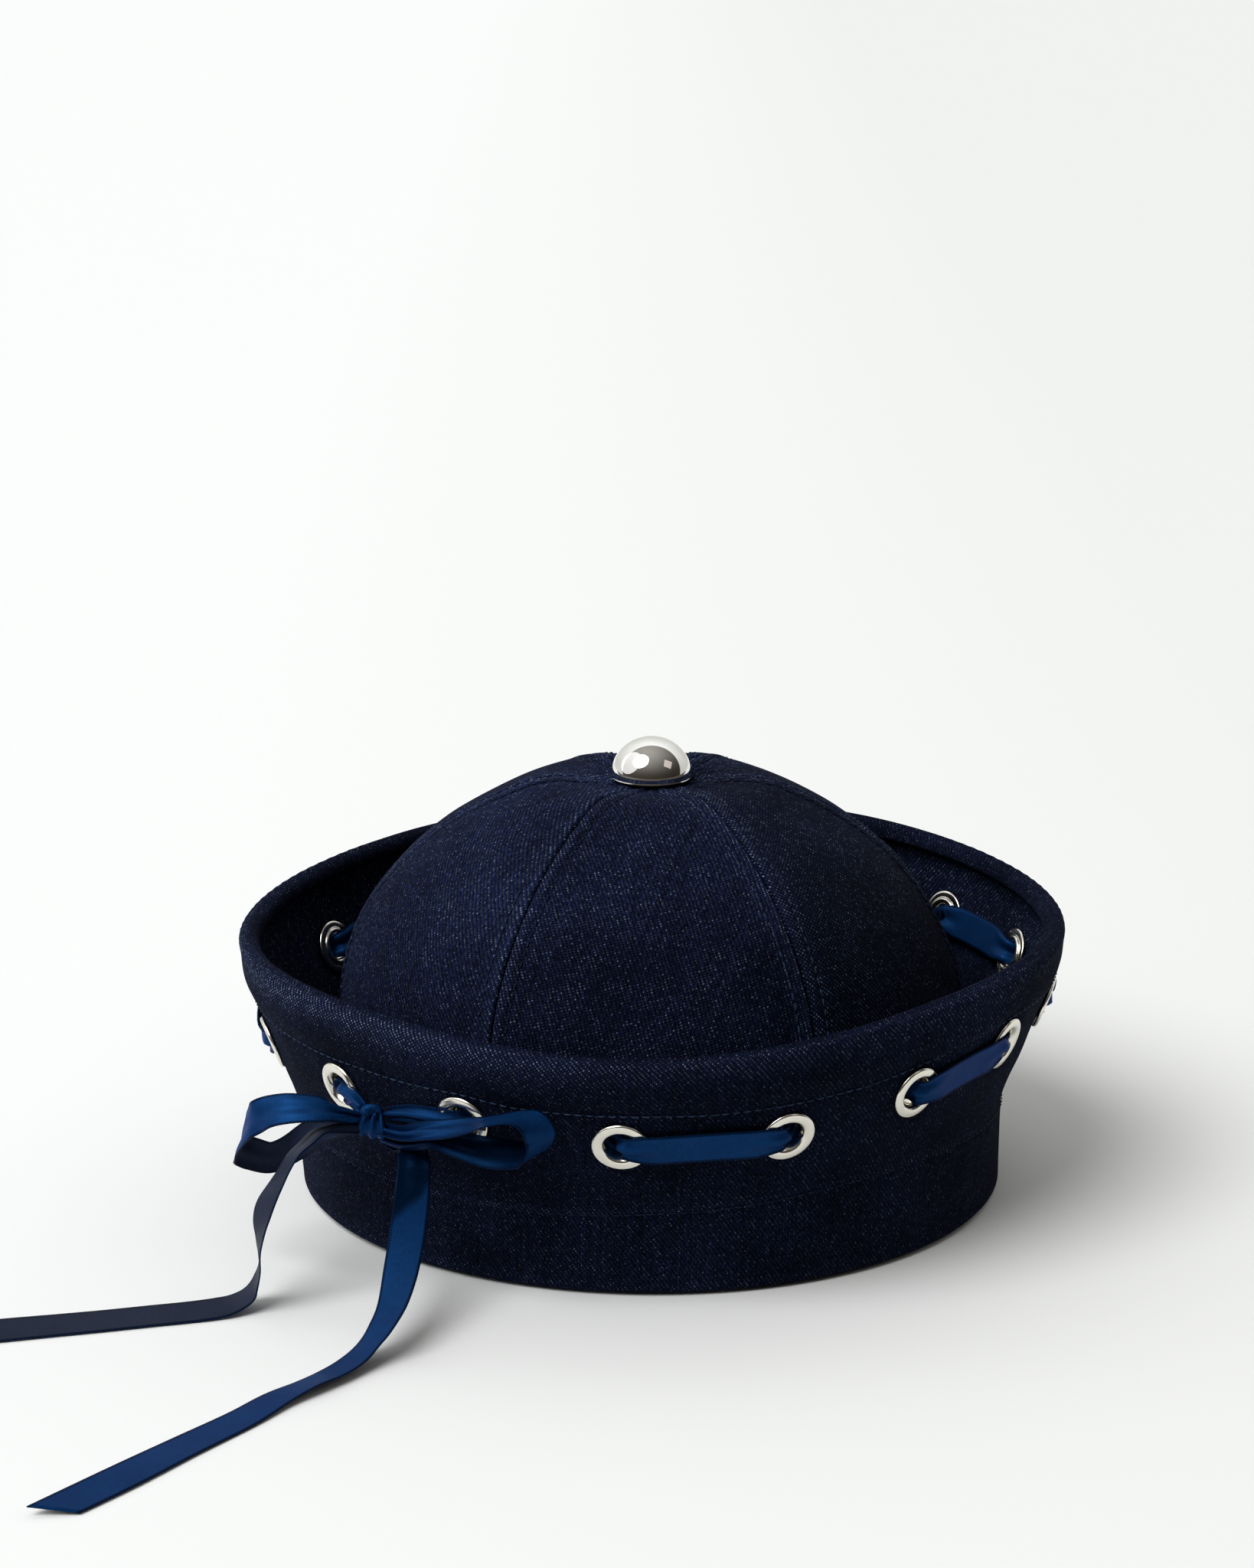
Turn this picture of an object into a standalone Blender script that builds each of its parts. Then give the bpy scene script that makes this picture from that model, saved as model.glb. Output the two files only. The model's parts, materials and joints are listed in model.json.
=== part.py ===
"""Sailor cap of indigo denim with a laced, turned-up brim and a domed metal stud.

Six crown panels stand on the turned base of a flared brim. The brim has an outer layer,
which rolls over at the rim, and a facing inside it. Eyelets go through both layers, and a
ribbon runs in and out through them and is tied in a bow at the front left.

Metres, +Z up. The origin is the middle of the base on the floor, and the front of the cap
looks along -Y. An azimuth is measured from -Y towards +X. Run it with
blender --background --python part.py, or from the text editor.
"""

import math

import bmesh
import bpy
from mathutils import Vector

MM = 0.001
FIT_GAP = 0.3 * MM              # clearance between pieces that touch on the real cap

# Crown
CROWN_RADIUS = 92.2 * MM        # outside of the crown at its shoulder
CROWN_FOOT_SPREAD = 1.2 * MM    # how much wider the foot is than the shoulder
CROWN_HEIGHT = 128.0 * MM       # floor to where the crown's side curve would close
CROWN_SHOULDER = 48.0 * MM      # height where the side begins to curve in
CROWN_WALL = 1.4 * MM
CROWN_SIDE_POWER = 1.77         # roundness of the crown's curve seen from the side
CROWN_TOP_POWER = 2.15
SEAT_DEPTH = 7.6 * MM           # how far the flattened top sinks below that at the stud
SEAT_RADIUS = 37.0 * MM         # where the flattening of the top ends
PANEL_COUNT = 6
PANEL_COLUMNS = 7
PANEL_DOME_ROWS = 9
SEAM_RIDGE = 1.1 * MM           # how far the seams stand out from the middle of a panel

# Shallow hollows that the soft crown shows, as shares of its radius and height.
CROWN_DENTS = (
    # azimuth, height share, half width in degrees, half height share, depth share
    (98.0, 0.64, 26.0, 0.12, 0.022),
    (-60.0, 0.60, 22.0, 0.15, -0.010),
    (8.0, 0.80, 20.0, 0.12, 0.006),
)

# Stud
STUD_RADIUS = 11.4 * MM
STUD_DOME_HEIGHT = 10.5 * MM
STUD_LIP_RADIUS = 12.2 * MM
STUD_LIP = 1.3 * MM             # height of the lip below the dome
STUD_POST_RADIUS = 1.5 * MM
STUD_RIVET_RADIUS = 4.0 * MM
STUD_RIVET_THICKNESS = 0.8 * MM
STUD_SIDES = 18
STUD_RINGS = 5

# Brim
BRIM_WALL = 1.3 * MM            # each of the two layers
BRIM_STAND_OFF = 10.9 * MM      # from the crown's foot to the outside of the brim
BASE_RADIUS = CROWN_RADIUS + CROWN_FOOT_SPREAD + BRIM_STAND_OFF
BASE_BEND = 2.2 * MM            # radius where the base turns up
BASE_SEAM = 2.0 * MM            # how far the base reaches in past the crown's foot
RIM_FLARE = 15.5 * MM           # how far the rim reaches out past the base
RIM_RADIUS = BASE_RADIUS + RIM_FLARE
RIM_HEIGHT = 76.4 * MM          # height of the middle of the roll, before the waves
ROLL_RADIUS = 3.4 * MM
BRIM_COLUMNS = 40

# Side of the brim from the base bend to the roll.
BRIM_FLARE = (
    # height share of RIM_HEIGHT, share of the flare from BASE_RADIUS to RIM_RADIUS
    (0.34, 0.02),
    (0.47, 0.19),
    (0.58, 0.39),
    (0.80, 0.77),
    (0.89, 0.96),
)

ROLL_ANGLES = (-15.0, 40.0, 95.0, 150.0, 205.0)

# The rim is not quite round or level.
RIM_WAVES = (
    # waves round the rim, azimuth of a crest, outward share of radius, upward share of height
    (1, 154.0, 0.000, 0.060),
    (4, 0.0, 0.023, -0.010),
)

# Eyelets
EYELETS = (
    # azimuth, height on the brim as a share of RIM_HEIGHT
    (-27.5, 0.702),
    (-4.5, 0.668),
    (19.0, 0.663),
    (40.5, 0.713),
    (61.0, 0.760),
    (82.0, 0.752),
    (103.0, 0.744),
    (124.0, 0.741),
    (144.0, 0.732),
    (164.0, 0.722),
    (184.0, 0.712),
    (204.0, 0.704),
    (223.0, 0.700),
    (242.5, 0.696),
    (281.5, 0.652),
    (308.5, 0.681),
)
EYELET_FLANGE_RADIUS = 8.0 * MM
EYELET_BORE_RADIUS = 4.3 * MM
EYELET_BARREL_WALL = 0.6 * MM
EYELET_RISE = 1.0 * MM          # height of a flange over its back
EYELET_SIDES = 10
HOLE_SIDES = 12

# Ribbon
RIBBON_WIDTH = 10.0 * MM
RIBBON_THICKNESS = 1.0 * MM
GATHERED_SHARE = 0.60           # width share where the ribbon is squeezed in an eyelet
LACE_SPREAD = 9.0 * MM          # distance from an eyelet where the ribbon is flat again
LACE_LIFT = 1.0 * MM            # air under the ribbon halfway between two eyelets

KNOT_AZIMUTH = -42.7
KNOT_SHARE = 0.630              # height on the brim, as a share of RIM_HEIGHT
KNOT_STAND_OFF = 5.0 * MM       # middle of the knot to the face of the brim
KNOT_FACING = -28.0             # azimuth that the bow faces
KNOT_HALF_WIDTH = 5.0 * MM
KNOT_HALF_HEIGHT = 4.8 * MM
KNOT_HALF_DEPTH = 3.8 * MM

# Chosen points of the bow. Lengths are in millimetres from the middle of the knot, and the
# across columns give the direction of the ribbon's width.
LOOP_LEFT = (
    # right, back, up, width share, across right, across back, across up
    (-3.5, -2.1, 2.1, 0.30, -0.10, 0.60, 0.80),
    (-9.2, -6.2, 5.2, 0.60, -0.15, 0.83, 0.53),
    (-14.0, -8.2, 6.9, 0.83, -0.04, 0.79, 0.62),
    (-21.9, -8.2, 7.1, 0.92, -0.04, 0.71, 0.70),
    (-28.0, -6.2, 5.5, 0.97, 0.01, 0.63, 0.77),
    (-32.6, -3.2, 2.5, 0.96, 0.20, 0.00, 0.98),
    (-35.3, 0.8, -1.4, 0.98, 0.25, 0.00, 0.97),
    (-37.7, 5.8, -8.1, 0.93, 0.31, -0.15, 0.94),
    (-37.9, 10.8, -11.8, 0.93, 0.28, -0.06, 0.96),
    (-35.2, 14.8, -14.6, 0.95, 0.07, 0.00, 1.00),
    (-29.7, 16.8, -16.3, 0.93, 0.02, 0.00, 1.00),
    (-22.7, 18.3, -13.1, 0.90, 0.15, -0.10, 1.00),
    (-17.5, 15.8, -8.5, 0.82, 0.10, -0.20, 1.00),
    (-11.3, 9.6, -4.9, 0.62, 0.00, -0.30, 1.00),
    (-4.2, 2.9, -1.5, 0.40, 0.00, -0.30, 1.00),
)
LOOP_RIGHT = (
    # right, back, up, width share, across right, across back, across up
    (3.0, -4.4, -0.6, 0.38, 0.00, 0.80, 0.50),
    (8.7, -11.1, 0.5, 0.46, -0.05, 0.85, 0.50),
    (15.3, -18.2, 3.7, 0.66, -0.10, 0.92, 0.38),
    (22.7, -23.2, 6.2, 0.84, 0.06, 0.95, 0.30),
    (29.4, -27.2, 8.6, 0.95, 0.34, 0.93, 0.16),
    (34.8, -29.7, 11.0, 1.00, 0.41, 0.91, 0.03),
    (41.1, -31.7, 12.5, 1.00, 0.46, 0.89, 0.08),
    (45.4, -32.7, 11.0, 1.00, 0.67, 0.69, 0.26),
    (47.7, -32.2, 6.4, 1.00, 0.80, 0.50, 0.33),
    (45.9, -30.7, 1.3, 1.00, 0.57, 0.82, 0.03),
    (42.8, -28.7, 0.5, 0.98, 0.35, 0.84, 0.42),
    (33.7, -25.2, 0.1, 0.95, 0.09, 0.74, 0.67),
    (25.4, -21.7, 1.1, 0.85, 0.05, 0.82, 0.57),
    (17.8, -17.2, 1.4, 0.65, 0.00, 0.90, 0.43),
    (9.4, -10.5, -2.1, 0.42, 0.00, 0.50, 0.85),
    (3.1, -4.2, -2.8, 0.34, 0.00, 0.50, 0.85),
)

# The tails' heights are shares of the knot's height, so that they end on the floor.
TAIL_RIGHT = (
    # right, back, height share, width share, across right, across back, across up
    (2.8, -2.4, 0.882, 0.40, 0.70, -0.20, 0.55),
    (7.5, -5.1, 0.853, 0.60, 0.90, -0.20, 0.40),
    (11.1, -8.2, 0.893, 0.78, 1.00, -0.10, 0.10),
    (11.8, -11.2, 0.855, 0.87, 1.00, 0.00, -0.08),
    (12.1, -13.0, 0.811, 0.91, 1.00, -0.02, -0.12),
    (11.8, -16.0, 0.694, 0.97, 0.98, 0.12, -0.12),
    (11.3, -25.5, 0.572, 1.00, 0.99, 0.02, -0.06),
    (10.2, -38.9, 0.422, 1.00, 0.99, -0.12, 0.03),
    (8.3, -52.2, 0.269, 1.00, 0.87, -0.43, 0.25),
    (5.6, -60.6, 0.187, 1.00, 0.75, -0.60, 0.27),
    (2.2, -65.2, 0.106, 1.00, 0.69, -0.66, 0.30),
    (-2.0, -71.1, 0.054, 1.00, 0.75, -0.61, 0.22),
    (-7.1, -78.1, 0.038, 1.00, 0.77, -0.61, 0.19),
    (-13.0, -85.0, 0.038, 1.00, 0.73, -0.64, 0.22),
    (-20.2, -93.3, 0.027, 1.00, 0.83, -0.55, 0.09),
    (-28.4, -106.1, 0.020, 1.00, 0.82, -0.57, -0.03),
    (-41.8, -124.8, 0.027, 1.00, 0.79, -0.60, -0.10),
    (-54.9, -144.1, 0.038, 1.00, 0.79, -0.58, -0.20),
    (-69.3, -163.0, 0.036, 1.00, 0.79, -0.58, -0.20),
)
TAIL_LEFT = (
    # right, back, height share, width share, across right, across back, across up
    (-4.0, -2.3, 0.987, 0.32, -0.30, 0.85, 0.20),
    (-9.4, -6.0, 1.011, 0.50, -0.45, 0.85, -0.10),
    (-14.3, -8.2, 1.008, 0.76, -0.47, 0.87, -0.16),
    (-17.9, -11.1, 0.953, 0.94, -0.49, 0.83, -0.28),
    (-21.3, -14.0, 0.894, 1.00, -0.43, 0.85, -0.31),
    (-24.0, -16.6, 0.804, 1.00, -0.43, 0.84, -0.32),
    (-26.2, -19.3, 0.728, 1.00, -0.51, 0.81, -0.28),
    (-28.3, -21.7, 0.645, 1.00, -0.57, 0.79, -0.22),
    (-29.4, -23.7, 0.563, 1.00, -0.53, 0.80, -0.28),
    (-29.9, -25.7, 0.463, 1.00, -0.31, 0.90, -0.29),
    (-30.2, -26.7, 0.370, 1.00, -0.16, 0.98, -0.13),
    (-30.0, -26.8, 0.271, 1.00, -0.10, 0.99, 0.00),
    (-30.8, -26.7, 0.187, 1.00, -0.13, 0.99, 0.04),
    (-32.1, -26.8, 0.120, 1.00, -0.30, 0.95, -0.11),
    (-34.9, -28.6, 0.068, 1.00, -0.50, 0.87, -0.03),
    (-40.3, -31.7, 0.043, 1.00, -0.38, 0.90, 0.16),
    (-48.4, -34.3, 0.036, 1.00, -0.22, 0.96, 0.19),
    (-58.6, -37.1, 0.036, 1.00, -0.21, 0.96, 0.19),
    (-72.7, -41.1, 0.036, 1.00, -0.22, 0.96, 0.20),
    (-86.8, -44.9, 0.038, 1.00, -0.22, 0.95, 0.22),
    (-97.8, -48.0, 0.041, 1.00, -0.20, 0.94, 0.24),
    (-113.2, -52.2, 0.041, 1.00, -0.20, 0.94, 0.24),
)
TAIL_CUT_SLANT = 4.2 * MM       # how far the slanting cut runs past the middle of an end

# Ends of the lacing beside the knot, in the loops' columns.
LACE_END_RIGHT = (
    (14.7, -11.4, 5.7, 0.64, 0.00, -0.10, 1.00),
    (9.5, -7.4, 5.3, 0.48, 0.00, 0.10, 1.00),
    (3.9, -2.5, 3.4, 0.34, 0.00, 0.30, 0.95),
)
LACE_END_LEFT = (
    (-3.2, 3.1, 3.0, 0.36, 0.60, 0.30, 0.75),
    (-6.3, 7.4, 4.9, 0.48, 0.35, 0.00, 0.90),
)


def clear_scene():
    for item in list(bpy.data.objects):
        bpy.data.objects.remove(item, do_unlink=True)


def make_material(name, color, roughness, metallic=0.0):
    material = bpy.data.materials.new(name)
    material.use_nodes = True
    shader = material.node_tree.nodes["Principled BSDF"]
    shader.inputs["Base Color"].default_value = (*color, 1.0)
    shader.inputs["Roughness"].default_value = roughness
    shader.inputs["Metallic"].default_value = metallic
    return material


def add_object(name, points, faces, material, smooth_angle=None):
    mesh = bpy.data.meshes.new(name)
    mesh.from_pydata([tuple(point) for point in points], [], faces)
    work = bmesh.new()
    work.from_mesh(mesh)
    bmesh.ops.recalc_face_normals(work, faces=work.faces)
    work.to_mesh(mesh)
    work.free()
    mesh.materials.append(material)
    if smooth_angle is not None:
        mesh.shade_smooth()
        mesh.set_sharp_from_angle(angle=math.radians(smooth_angle))
    item = bpy.data.objects.new(name, mesh)
    bpy.context.scene.collection.objects.link(item)
    return item


def round_point(radius, azimuth, height):
    angle = math.radians(azimuth)
    return Vector((radius * math.sin(angle), -radius * math.cos(angle), height))


def offset_line(line, distance):
    """Move an open line of (radius, height) points sideways, to the left of its run."""
    moved = []
    for index, point in enumerate(line):
        before = line[max(index - 1, 0)]
        after = line[min(index + 1, len(line) - 1)]
        sides = []
        for start, end in ((before, point), (point, after)):
            run = Vector((end[0] - start[0], end[1] - start[1]))
            if run.length > 0.0:
                run.normalize()
                sides.append(Vector((-run.y, run.x)))
        middle = sum(sides, Vector((0.0, 0.0))).normalized()
        reach = distance / middle.dot(sides[0])
        moved.append((point[0] + middle.x * reach, point[1] + middle.y * reach))
    return moved


# Crown

def seat_dip(radius):
    """How far the crown's flattened top lies below its side curve."""
    share = min(radius / SEAT_RADIUS, 1.0)
    return SEAT_DEPTH * (1 - share ** 2) ** 2


def crown_profile():
    """Outer (radius, height) points of the crown from its foot to the stud's hole."""
    foot = BRIM_WALL + FIT_GAP
    line = [
        (CROWN_RADIUS + CROWN_FOOT_SPREAD, foot),
        (CROWN_RADIUS + CROWN_FOOT_SPREAD * 0.5, (foot + CROWN_SHOULDER) / 2),
        (CROWN_RADIUS, CROWN_SHOULDER),
    ]
    hole = STUD_POST_RADIUS + FIT_GAP * 2 + CROWN_WALL * 0.25
    last = math.acos((hole / CROWN_RADIUS) ** (CROWN_SIDE_POWER / 2))
    rise = CROWN_HEIGHT - CROWN_SHOULDER
    for row in range(1, PANEL_DOME_ROWS + 1):
        angle = last * row / PANEL_DOME_ROWS
        radius = CROWN_RADIUS * math.cos(angle) ** (2 / CROWN_SIDE_POWER)
        height = CROWN_SHOULDER + rise * math.sin(angle) ** (2 / CROWN_TOP_POWER)
        line.append((radius, height - seat_dip(radius)))
    return line


def crown_shift(azimuth, height):
    """Inward shift of the crown's side at a dent, and outward at a seam, as one length."""
    share = height / CROWN_HEIGHT
    inward = 0.0
    for middle, level, half_width, half_height, depth in CROWN_DENTS:
        turn = (azimuth - middle + 180.0) % 360.0 - 180.0
        reach = (turn / half_width) ** 2 + ((share - level) / half_height) ** 2
        inward += depth * CROWN_RADIUS * math.exp(-reach)
    bend = (height - CROWN_SHOULDER) / (CROWN_HEIGHT - CROWN_SHOULDER)
    swell = math.sin(math.pi * min(max(bend, 0.0), 1.0))
    seam_turn = math.radians(azimuth * PANEL_COUNT)
    return SEAM_RIDGE * swell * -math.cos(seam_turn) - inward


def build_crown_panel(index, material):
    outer_line = crown_profile()
    inner_line = offset_line(outer_line, CROWN_WALL)
    middle = index * 360.0 / PANEL_COUNT
    half_turn = 180.0 / PANEL_COUNT
    points = []
    for line in (outer_line, inner_line):
        for row, (radius, height) in enumerate(line):
            level = outer_line[row][1]
            edge_trim = math.degrees(math.asin(FIT_GAP / 2 / radius))
            reach = half_turn - edge_trim
            for column in range(PANEL_COLUMNS + 1):
                azimuth = middle + reach * (2 * column / PANEL_COLUMNS - 1)
                shift = crown_shift(azimuth, level) * min(radius / CROWN_RADIUS * 3, 1.0)
                points.append(round_point(radius + shift, azimuth, height))
    rows = len(outer_line)
    width = PANEL_COLUMNS + 1
    back = rows * width
    faces = []
    for row in range(rows - 1):
        for column in range(PANEL_COLUMNS):
            low = row * width + column
            faces.append((low, low + 1, low + 1 + width, low + width))
            faces.append((back + low, back + low + width, back + low + 1 + width, back + low + 1))
        for low in (row * width, row * width + PANEL_COLUMNS):
            faces.append((low, low + width, back + low + width, back + low))
    for column in range(PANEL_COLUMNS):
        for low in (column, (rows - 1) * width + column):
            faces.append((low, low + 1, back + low + 1, back + low))
    name = f"crown_panel_{index + 1}"
    return add_object(name, points, faces, material, smooth_angle=40)


def build_stud(material):
    """Dome, lip, post and rivet as one turned solid."""
    crown_top = CROWN_HEIGHT - seat_dip(0.0)
    seat = CROWN_HEIGHT - seat_dip(STUD_LIP_RADIUS) + FIT_GAP
    under_crown = crown_top - CROWN_WALL - FIT_GAP * 2
    line = [(0.0, seat + STUD_LIP + STUD_DOME_HEIGHT)]
    for ring in range(1, STUD_RINGS + 1):
        angle = math.pi / 2 * (1 - ring / STUD_RINGS)
        rise = STUD_DOME_HEIGHT * math.sin(angle)
        line.append((STUD_RADIUS * math.cos(angle), seat + STUD_LIP + rise))
    line += [
        (STUD_LIP_RADIUS, seat + STUD_LIP * 0.75),
        (STUD_LIP_RADIUS, seat),
        (STUD_POST_RADIUS, seat),
        (STUD_POST_RADIUS, under_crown),
        (STUD_RIVET_RADIUS, under_crown),
        (STUD_RIVET_RADIUS, under_crown - STUD_RIVET_THICKNESS),
        (0.0, under_crown - STUD_RIVET_THICKNESS),
    ]
    points = [Vector((0.0, 0.0, line[0][1]))]
    for radius, height in line[1:-1]:
        for side in range(STUD_SIDES):
            points.append(round_point(radius, 360.0 * side / STUD_SIDES, height))
    points.append(Vector((0.0, 0.0, line[-1][1])))
    faces = []
    rings = len(line) - 2
    for side in range(STUD_SIDES):
        after = (side + 1) % STUD_SIDES
        faces.append((0, 1 + side, 1 + after))
        for ring in range(rings - 1):
            low = 1 + ring * STUD_SIDES
            faces.append((low + side, low + side + STUD_SIDES,
                          low + after + STUD_SIDES, low + after))
        low = 1 + (rings - 1) * STUD_SIDES
        faces.append((low + side, len(points) - 1, low + after))
    return add_object("crown_stud", points, faces, material, smooth_angle=40)


# Brim

def brim_side_line():
    """Outer (radius, height) points of the brim's side, from the base bend up."""
    flare = RIM_RADIUS - BASE_RADIUS
    line = [(BASE_RADIUS, BASE_BEND)]
    for height_share, flare_share in BRIM_FLARE:
        line.append((BASE_RADIUS + flare * flare_share, RIM_HEIGHT * height_share))
    return line


def roll_line():
    """Outer points of the rolled rim, from outside over the top to its inner end."""
    middle = RIM_RADIUS - ROLL_RADIUS
    line = []
    for turn in ROLL_ANGLES:
        angle = math.radians(turn)
        line.append((middle + ROLL_RADIUS * math.cos(angle),
                     RIM_HEIGHT + ROLL_RADIUS * math.sin(angle)))
    return line


def wave_point(radius, azimuth, height):
    """Place a (radius, height) point of the brim at an azimuth, with the rim's waves."""
    share = max(height, 0.0) / RIM_HEIGHT
    outward = 0.0
    upward = 0.0
    for count, crest, radius_share, height_share in RIM_WAVES:
        turn = math.cos(math.radians(count * (azimuth - crest)))
        outward += RIM_RADIUS * radius_share * turn
        upward += height_share * turn
    return round_point(radius + outward * share ** 2, azimuth, height * (1 + upward))


def build_brim_layer(name, section, material):
    count = len(section)
    points = []
    for column in range(BRIM_COLUMNS):
        azimuth = 360.0 * column / BRIM_COLUMNS
        points += [wave_point(radius, azimuth, height) for radius, height in section]
    faces = []
    for column in range(BRIM_COLUMNS):
        here = column * count
        there = (column + 1) % BRIM_COLUMNS * count
        for index in range(count):
            after = (index + 1) % count
            faces.append((here + index, here + after, there + after, there + index))
    return add_object(name, points, faces, material, smooth_angle=40)


def outer_section():
    half_bend = math.sqrt(0.5)
    base_inner = CROWN_RADIUS + CROWN_FOOT_SPREAD - BASE_SEAM
    bend_middle = BASE_RADIUS - BASE_BEND
    face = [
        (base_inner, 0.0),
        (bend_middle, 0.0),
        (bend_middle + BASE_BEND * half_bend, BASE_BEND * (1 - half_bend)),
    ]
    face += brim_side_line() + roll_line()
    return face + list(reversed(offset_line(face, BRIM_WALL)))


def facing_section():
    back = offset_line(brim_side_line(), BRIM_WALL + FIT_GAP)
    roll_end, roll_back = roll_line()[-1], offset_line(roll_line(), BRIM_WALL)[-1]
    drop = FIT_GAP * 2
    back.append((roll_back[0], roll_back[1] - drop))
    face = offset_line(back, BRIM_WALL)
    face[-1] = (roll_end[0], roll_end[1] - drop)
    return back + list(reversed(face))


def brim_spot(azimuth, share, stand_off):
    """Point over the brim's outer face, with the face's upward and outward directions."""
    side = brim_side_line()
    height = RIM_HEIGHT * share
    for (low_radius, low), (high_radius, high) in zip(side, side[1:]):
        if height <= high or high == side[-1][1]:
            break
    part = (height - low) / (high - low)
    radius = low_radius + (high_radius - low_radius) * part
    spot = wave_point(radius, azimuth, height)
    above = wave_point(high_radius, azimuth, high)
    below = wave_point(low_radius, azimuth, low)
    upward = (above - below).normalized()
    beside = wave_point(radius, azimuth + 1.0, height) - wave_point(radius, azimuth - 1.0, height)
    outward = beside.cross(upward).normalized()
    return spot + outward * stand_off, upward, outward


def brim_thickness():
    """Both layers with the gap between them."""
    return BRIM_WALL * 2 + FIT_GAP


def eyelet_back():
    """How far behind the outer face the inner flange sits, clear of the curved facing."""
    bow_of_wall = EYELET_FLANGE_RADIUS ** 2 / (2 * (RIM_RADIUS + BASE_RADIUS) / 2)
    facet = RIM_RADIUS * (1 - math.cos(math.pi / BRIM_COLUMNS))
    return brim_thickness() + FIT_GAP + bow_of_wall + facet


def ring_faces(sides, count):
    faces = []
    for side in range(sides):
        here = side * count
        there = (side + 1) % sides * count
        for index in range(count):
            after = (index + 1) % count
            faces.append((here + index, here + after, there + after, there + index))
    return faces


def build_eyelet(index, azimuth, share, material):
    middle, upward, outward = brim_spot(azimuth, share, 0.0)
    beside = upward.cross(outward)
    back = -eyelet_back()
    barrel = EYELET_BORE_RADIUS + EYELET_BARREL_WALL
    crest = (EYELET_FLANGE_RADIUS + EYELET_BORE_RADIUS) / 2
    section = (
        (EYELET_FLANGE_RADIUS, FIT_GAP),
        (crest, FIT_GAP + EYELET_RISE),
        (EYELET_BORE_RADIUS, FIT_GAP + EYELET_RISE / 2),
        (EYELET_BORE_RADIUS, back - EYELET_RISE),
        (EYELET_FLANGE_RADIUS, back),
        (barrel, back),
        (barrel, FIT_GAP),
    )
    points = []
    for side in range(EYELET_SIDES):
        turn = 2 * math.pi * side / EYELET_SIDES
        spoke = upward * math.cos(turn) + beside * math.sin(turn)
        points += [middle + spoke * radius + outward * depth for radius, depth in section]
    faces = ring_faces(EYELET_SIDES, len(section))
    return add_object(f"eyelet_{index + 1:02d}", points, faces, material, smooth_angle=35)


def build_hole_cutter():
    """One plug for each eyelet, cut through both layers of the brim."""
    radius = (EYELET_BORE_RADIUS + EYELET_BARREL_WALL + FIT_GAP) / math.cos(math.pi / HOLE_SIDES)
    points = []
    faces = []
    for azimuth, share in EYELETS:
        middle, upward, outward = brim_spot(azimuth, share, 0.0)
        beside = upward.cross(outward)
        first = len(points)
        for depth in (brim_thickness(), -brim_thickness() * 2):
            for side in range(HOLE_SIDES):
                turn = 2 * math.pi * side / HOLE_SIDES
                spoke = upward * math.cos(turn) + beside * math.sin(turn)
                points.append(middle + spoke * radius + outward * depth)
        front = [first + side for side in range(HOLE_SIDES)]
        rear = [number + HOLE_SIDES for number in front]
        faces.append(tuple(front))
        faces.append(tuple(reversed(rear)))
        for side in range(HOLE_SIDES):
            after = (side + 1) % HOLE_SIDES
            faces.append((front[side], rear[side], rear[after], front[after]))
    cutter = add_object("hole_cutter", points, faces, make_material("cutter", (1, 0, 0), 1.0))
    cutter.hide_render = True
    cutter.display_type = "WIRE"
    return cutter


def cut_holes(item, cutter):
    cut = item.modifiers.new("eyelet holes", "BOOLEAN")
    cut.operation = "DIFFERENCE"
    cut.solver = "EXACT"
    cut.object = cutter


# Ribbon

def knot_middle():
    return brim_spot(KNOT_AZIMUTH, KNOT_SHARE, KNOT_STAND_OFF)[0]


def bow_sections(rows):
    """Sections of a ribbon from rows that are measured from the knot."""
    knot = knot_middle()
    sections = []
    for right, back, up, width_share, *across in rows:
        middle = knot + Vector((right, back, up)) * MM
        sections.append((middle, Vector(across).normalized(), RIBBON_WIDTH * width_share))
    return sections


def tail_sections(rows):
    """Sections of a tail, whose heights are shares of the knot's height."""
    knot = knot_middle()
    sections = []
    for right, back, height_share, width_share, *across in rows:
        middle = Vector((knot.x + right * MM, knot.y + back * MM, knot.z * height_share))
        sections.append((middle, Vector(across).normalized(), RIBBON_WIDTH * width_share))
    return sections


def curve_value(before, start, end, after, part):
    """Point on the smooth curve between start and end."""
    return 0.5 * (
        2 * start
        + (end - before) * part
        + (2 * before - 5 * start + 4 * end - after) * part ** 2
        + (3 * start - before - 3 * end + after) * part ** 3
    )


def smooth_sections(sections, steps):
    """Add sections between the given ones, on a smooth curve through them."""
    filled = []
    last = len(sections) - 1
    for index in range(last):
        four = [sections[min(max(index + shift, 0), last)] for shift in (-1, 0, 1, 2)]
        for step in range(steps):
            part = step / steps
            middle = curve_value(*[row[0] for row in four], part)
            across = curve_value(*[row[1] for row in four], part).normalized()
            width = four[1][2] + (four[2][2] - four[1][2]) * part
            filled.append((middle, across, width))
    filled.append(sections[-1])
    return filled


def build_band(name, sections, material, end_slant=0.0):
    """Flat ribbon through sections of (middle, across, width)."""
    points = []
    last = len(sections) - 1
    for index, (middle, across, width) in enumerate(sections):
        run = sections[min(index + 1, last)][0] - sections[max(index - 1, 0)][0]
        run.normalize()
        across = (across - run * across.dot(run)).normalized()
        thick = run.cross(across) * RIBBON_THICKNESS / 2
        slant = run * end_slant if index == last else Vector((0.0, 0.0, 0.0))
        half = across * width / 2 - slant
        points += [middle + half + thick, middle + half - thick,
                   middle - half - thick, middle - half + thick]
    faces = [(0, 1, 2, 3), tuple(4 * last + corner for corner in (3, 2, 1, 0))]
    for index in range(last):
        low = 4 * index
        for corner in range(4):
            after = (corner + 1) % 4
            faces.append((low + corner, low + after, low + 4 + after, low + 4 + corner))
    return add_object(name, points, faces, material, smooth_angle=40)


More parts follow.
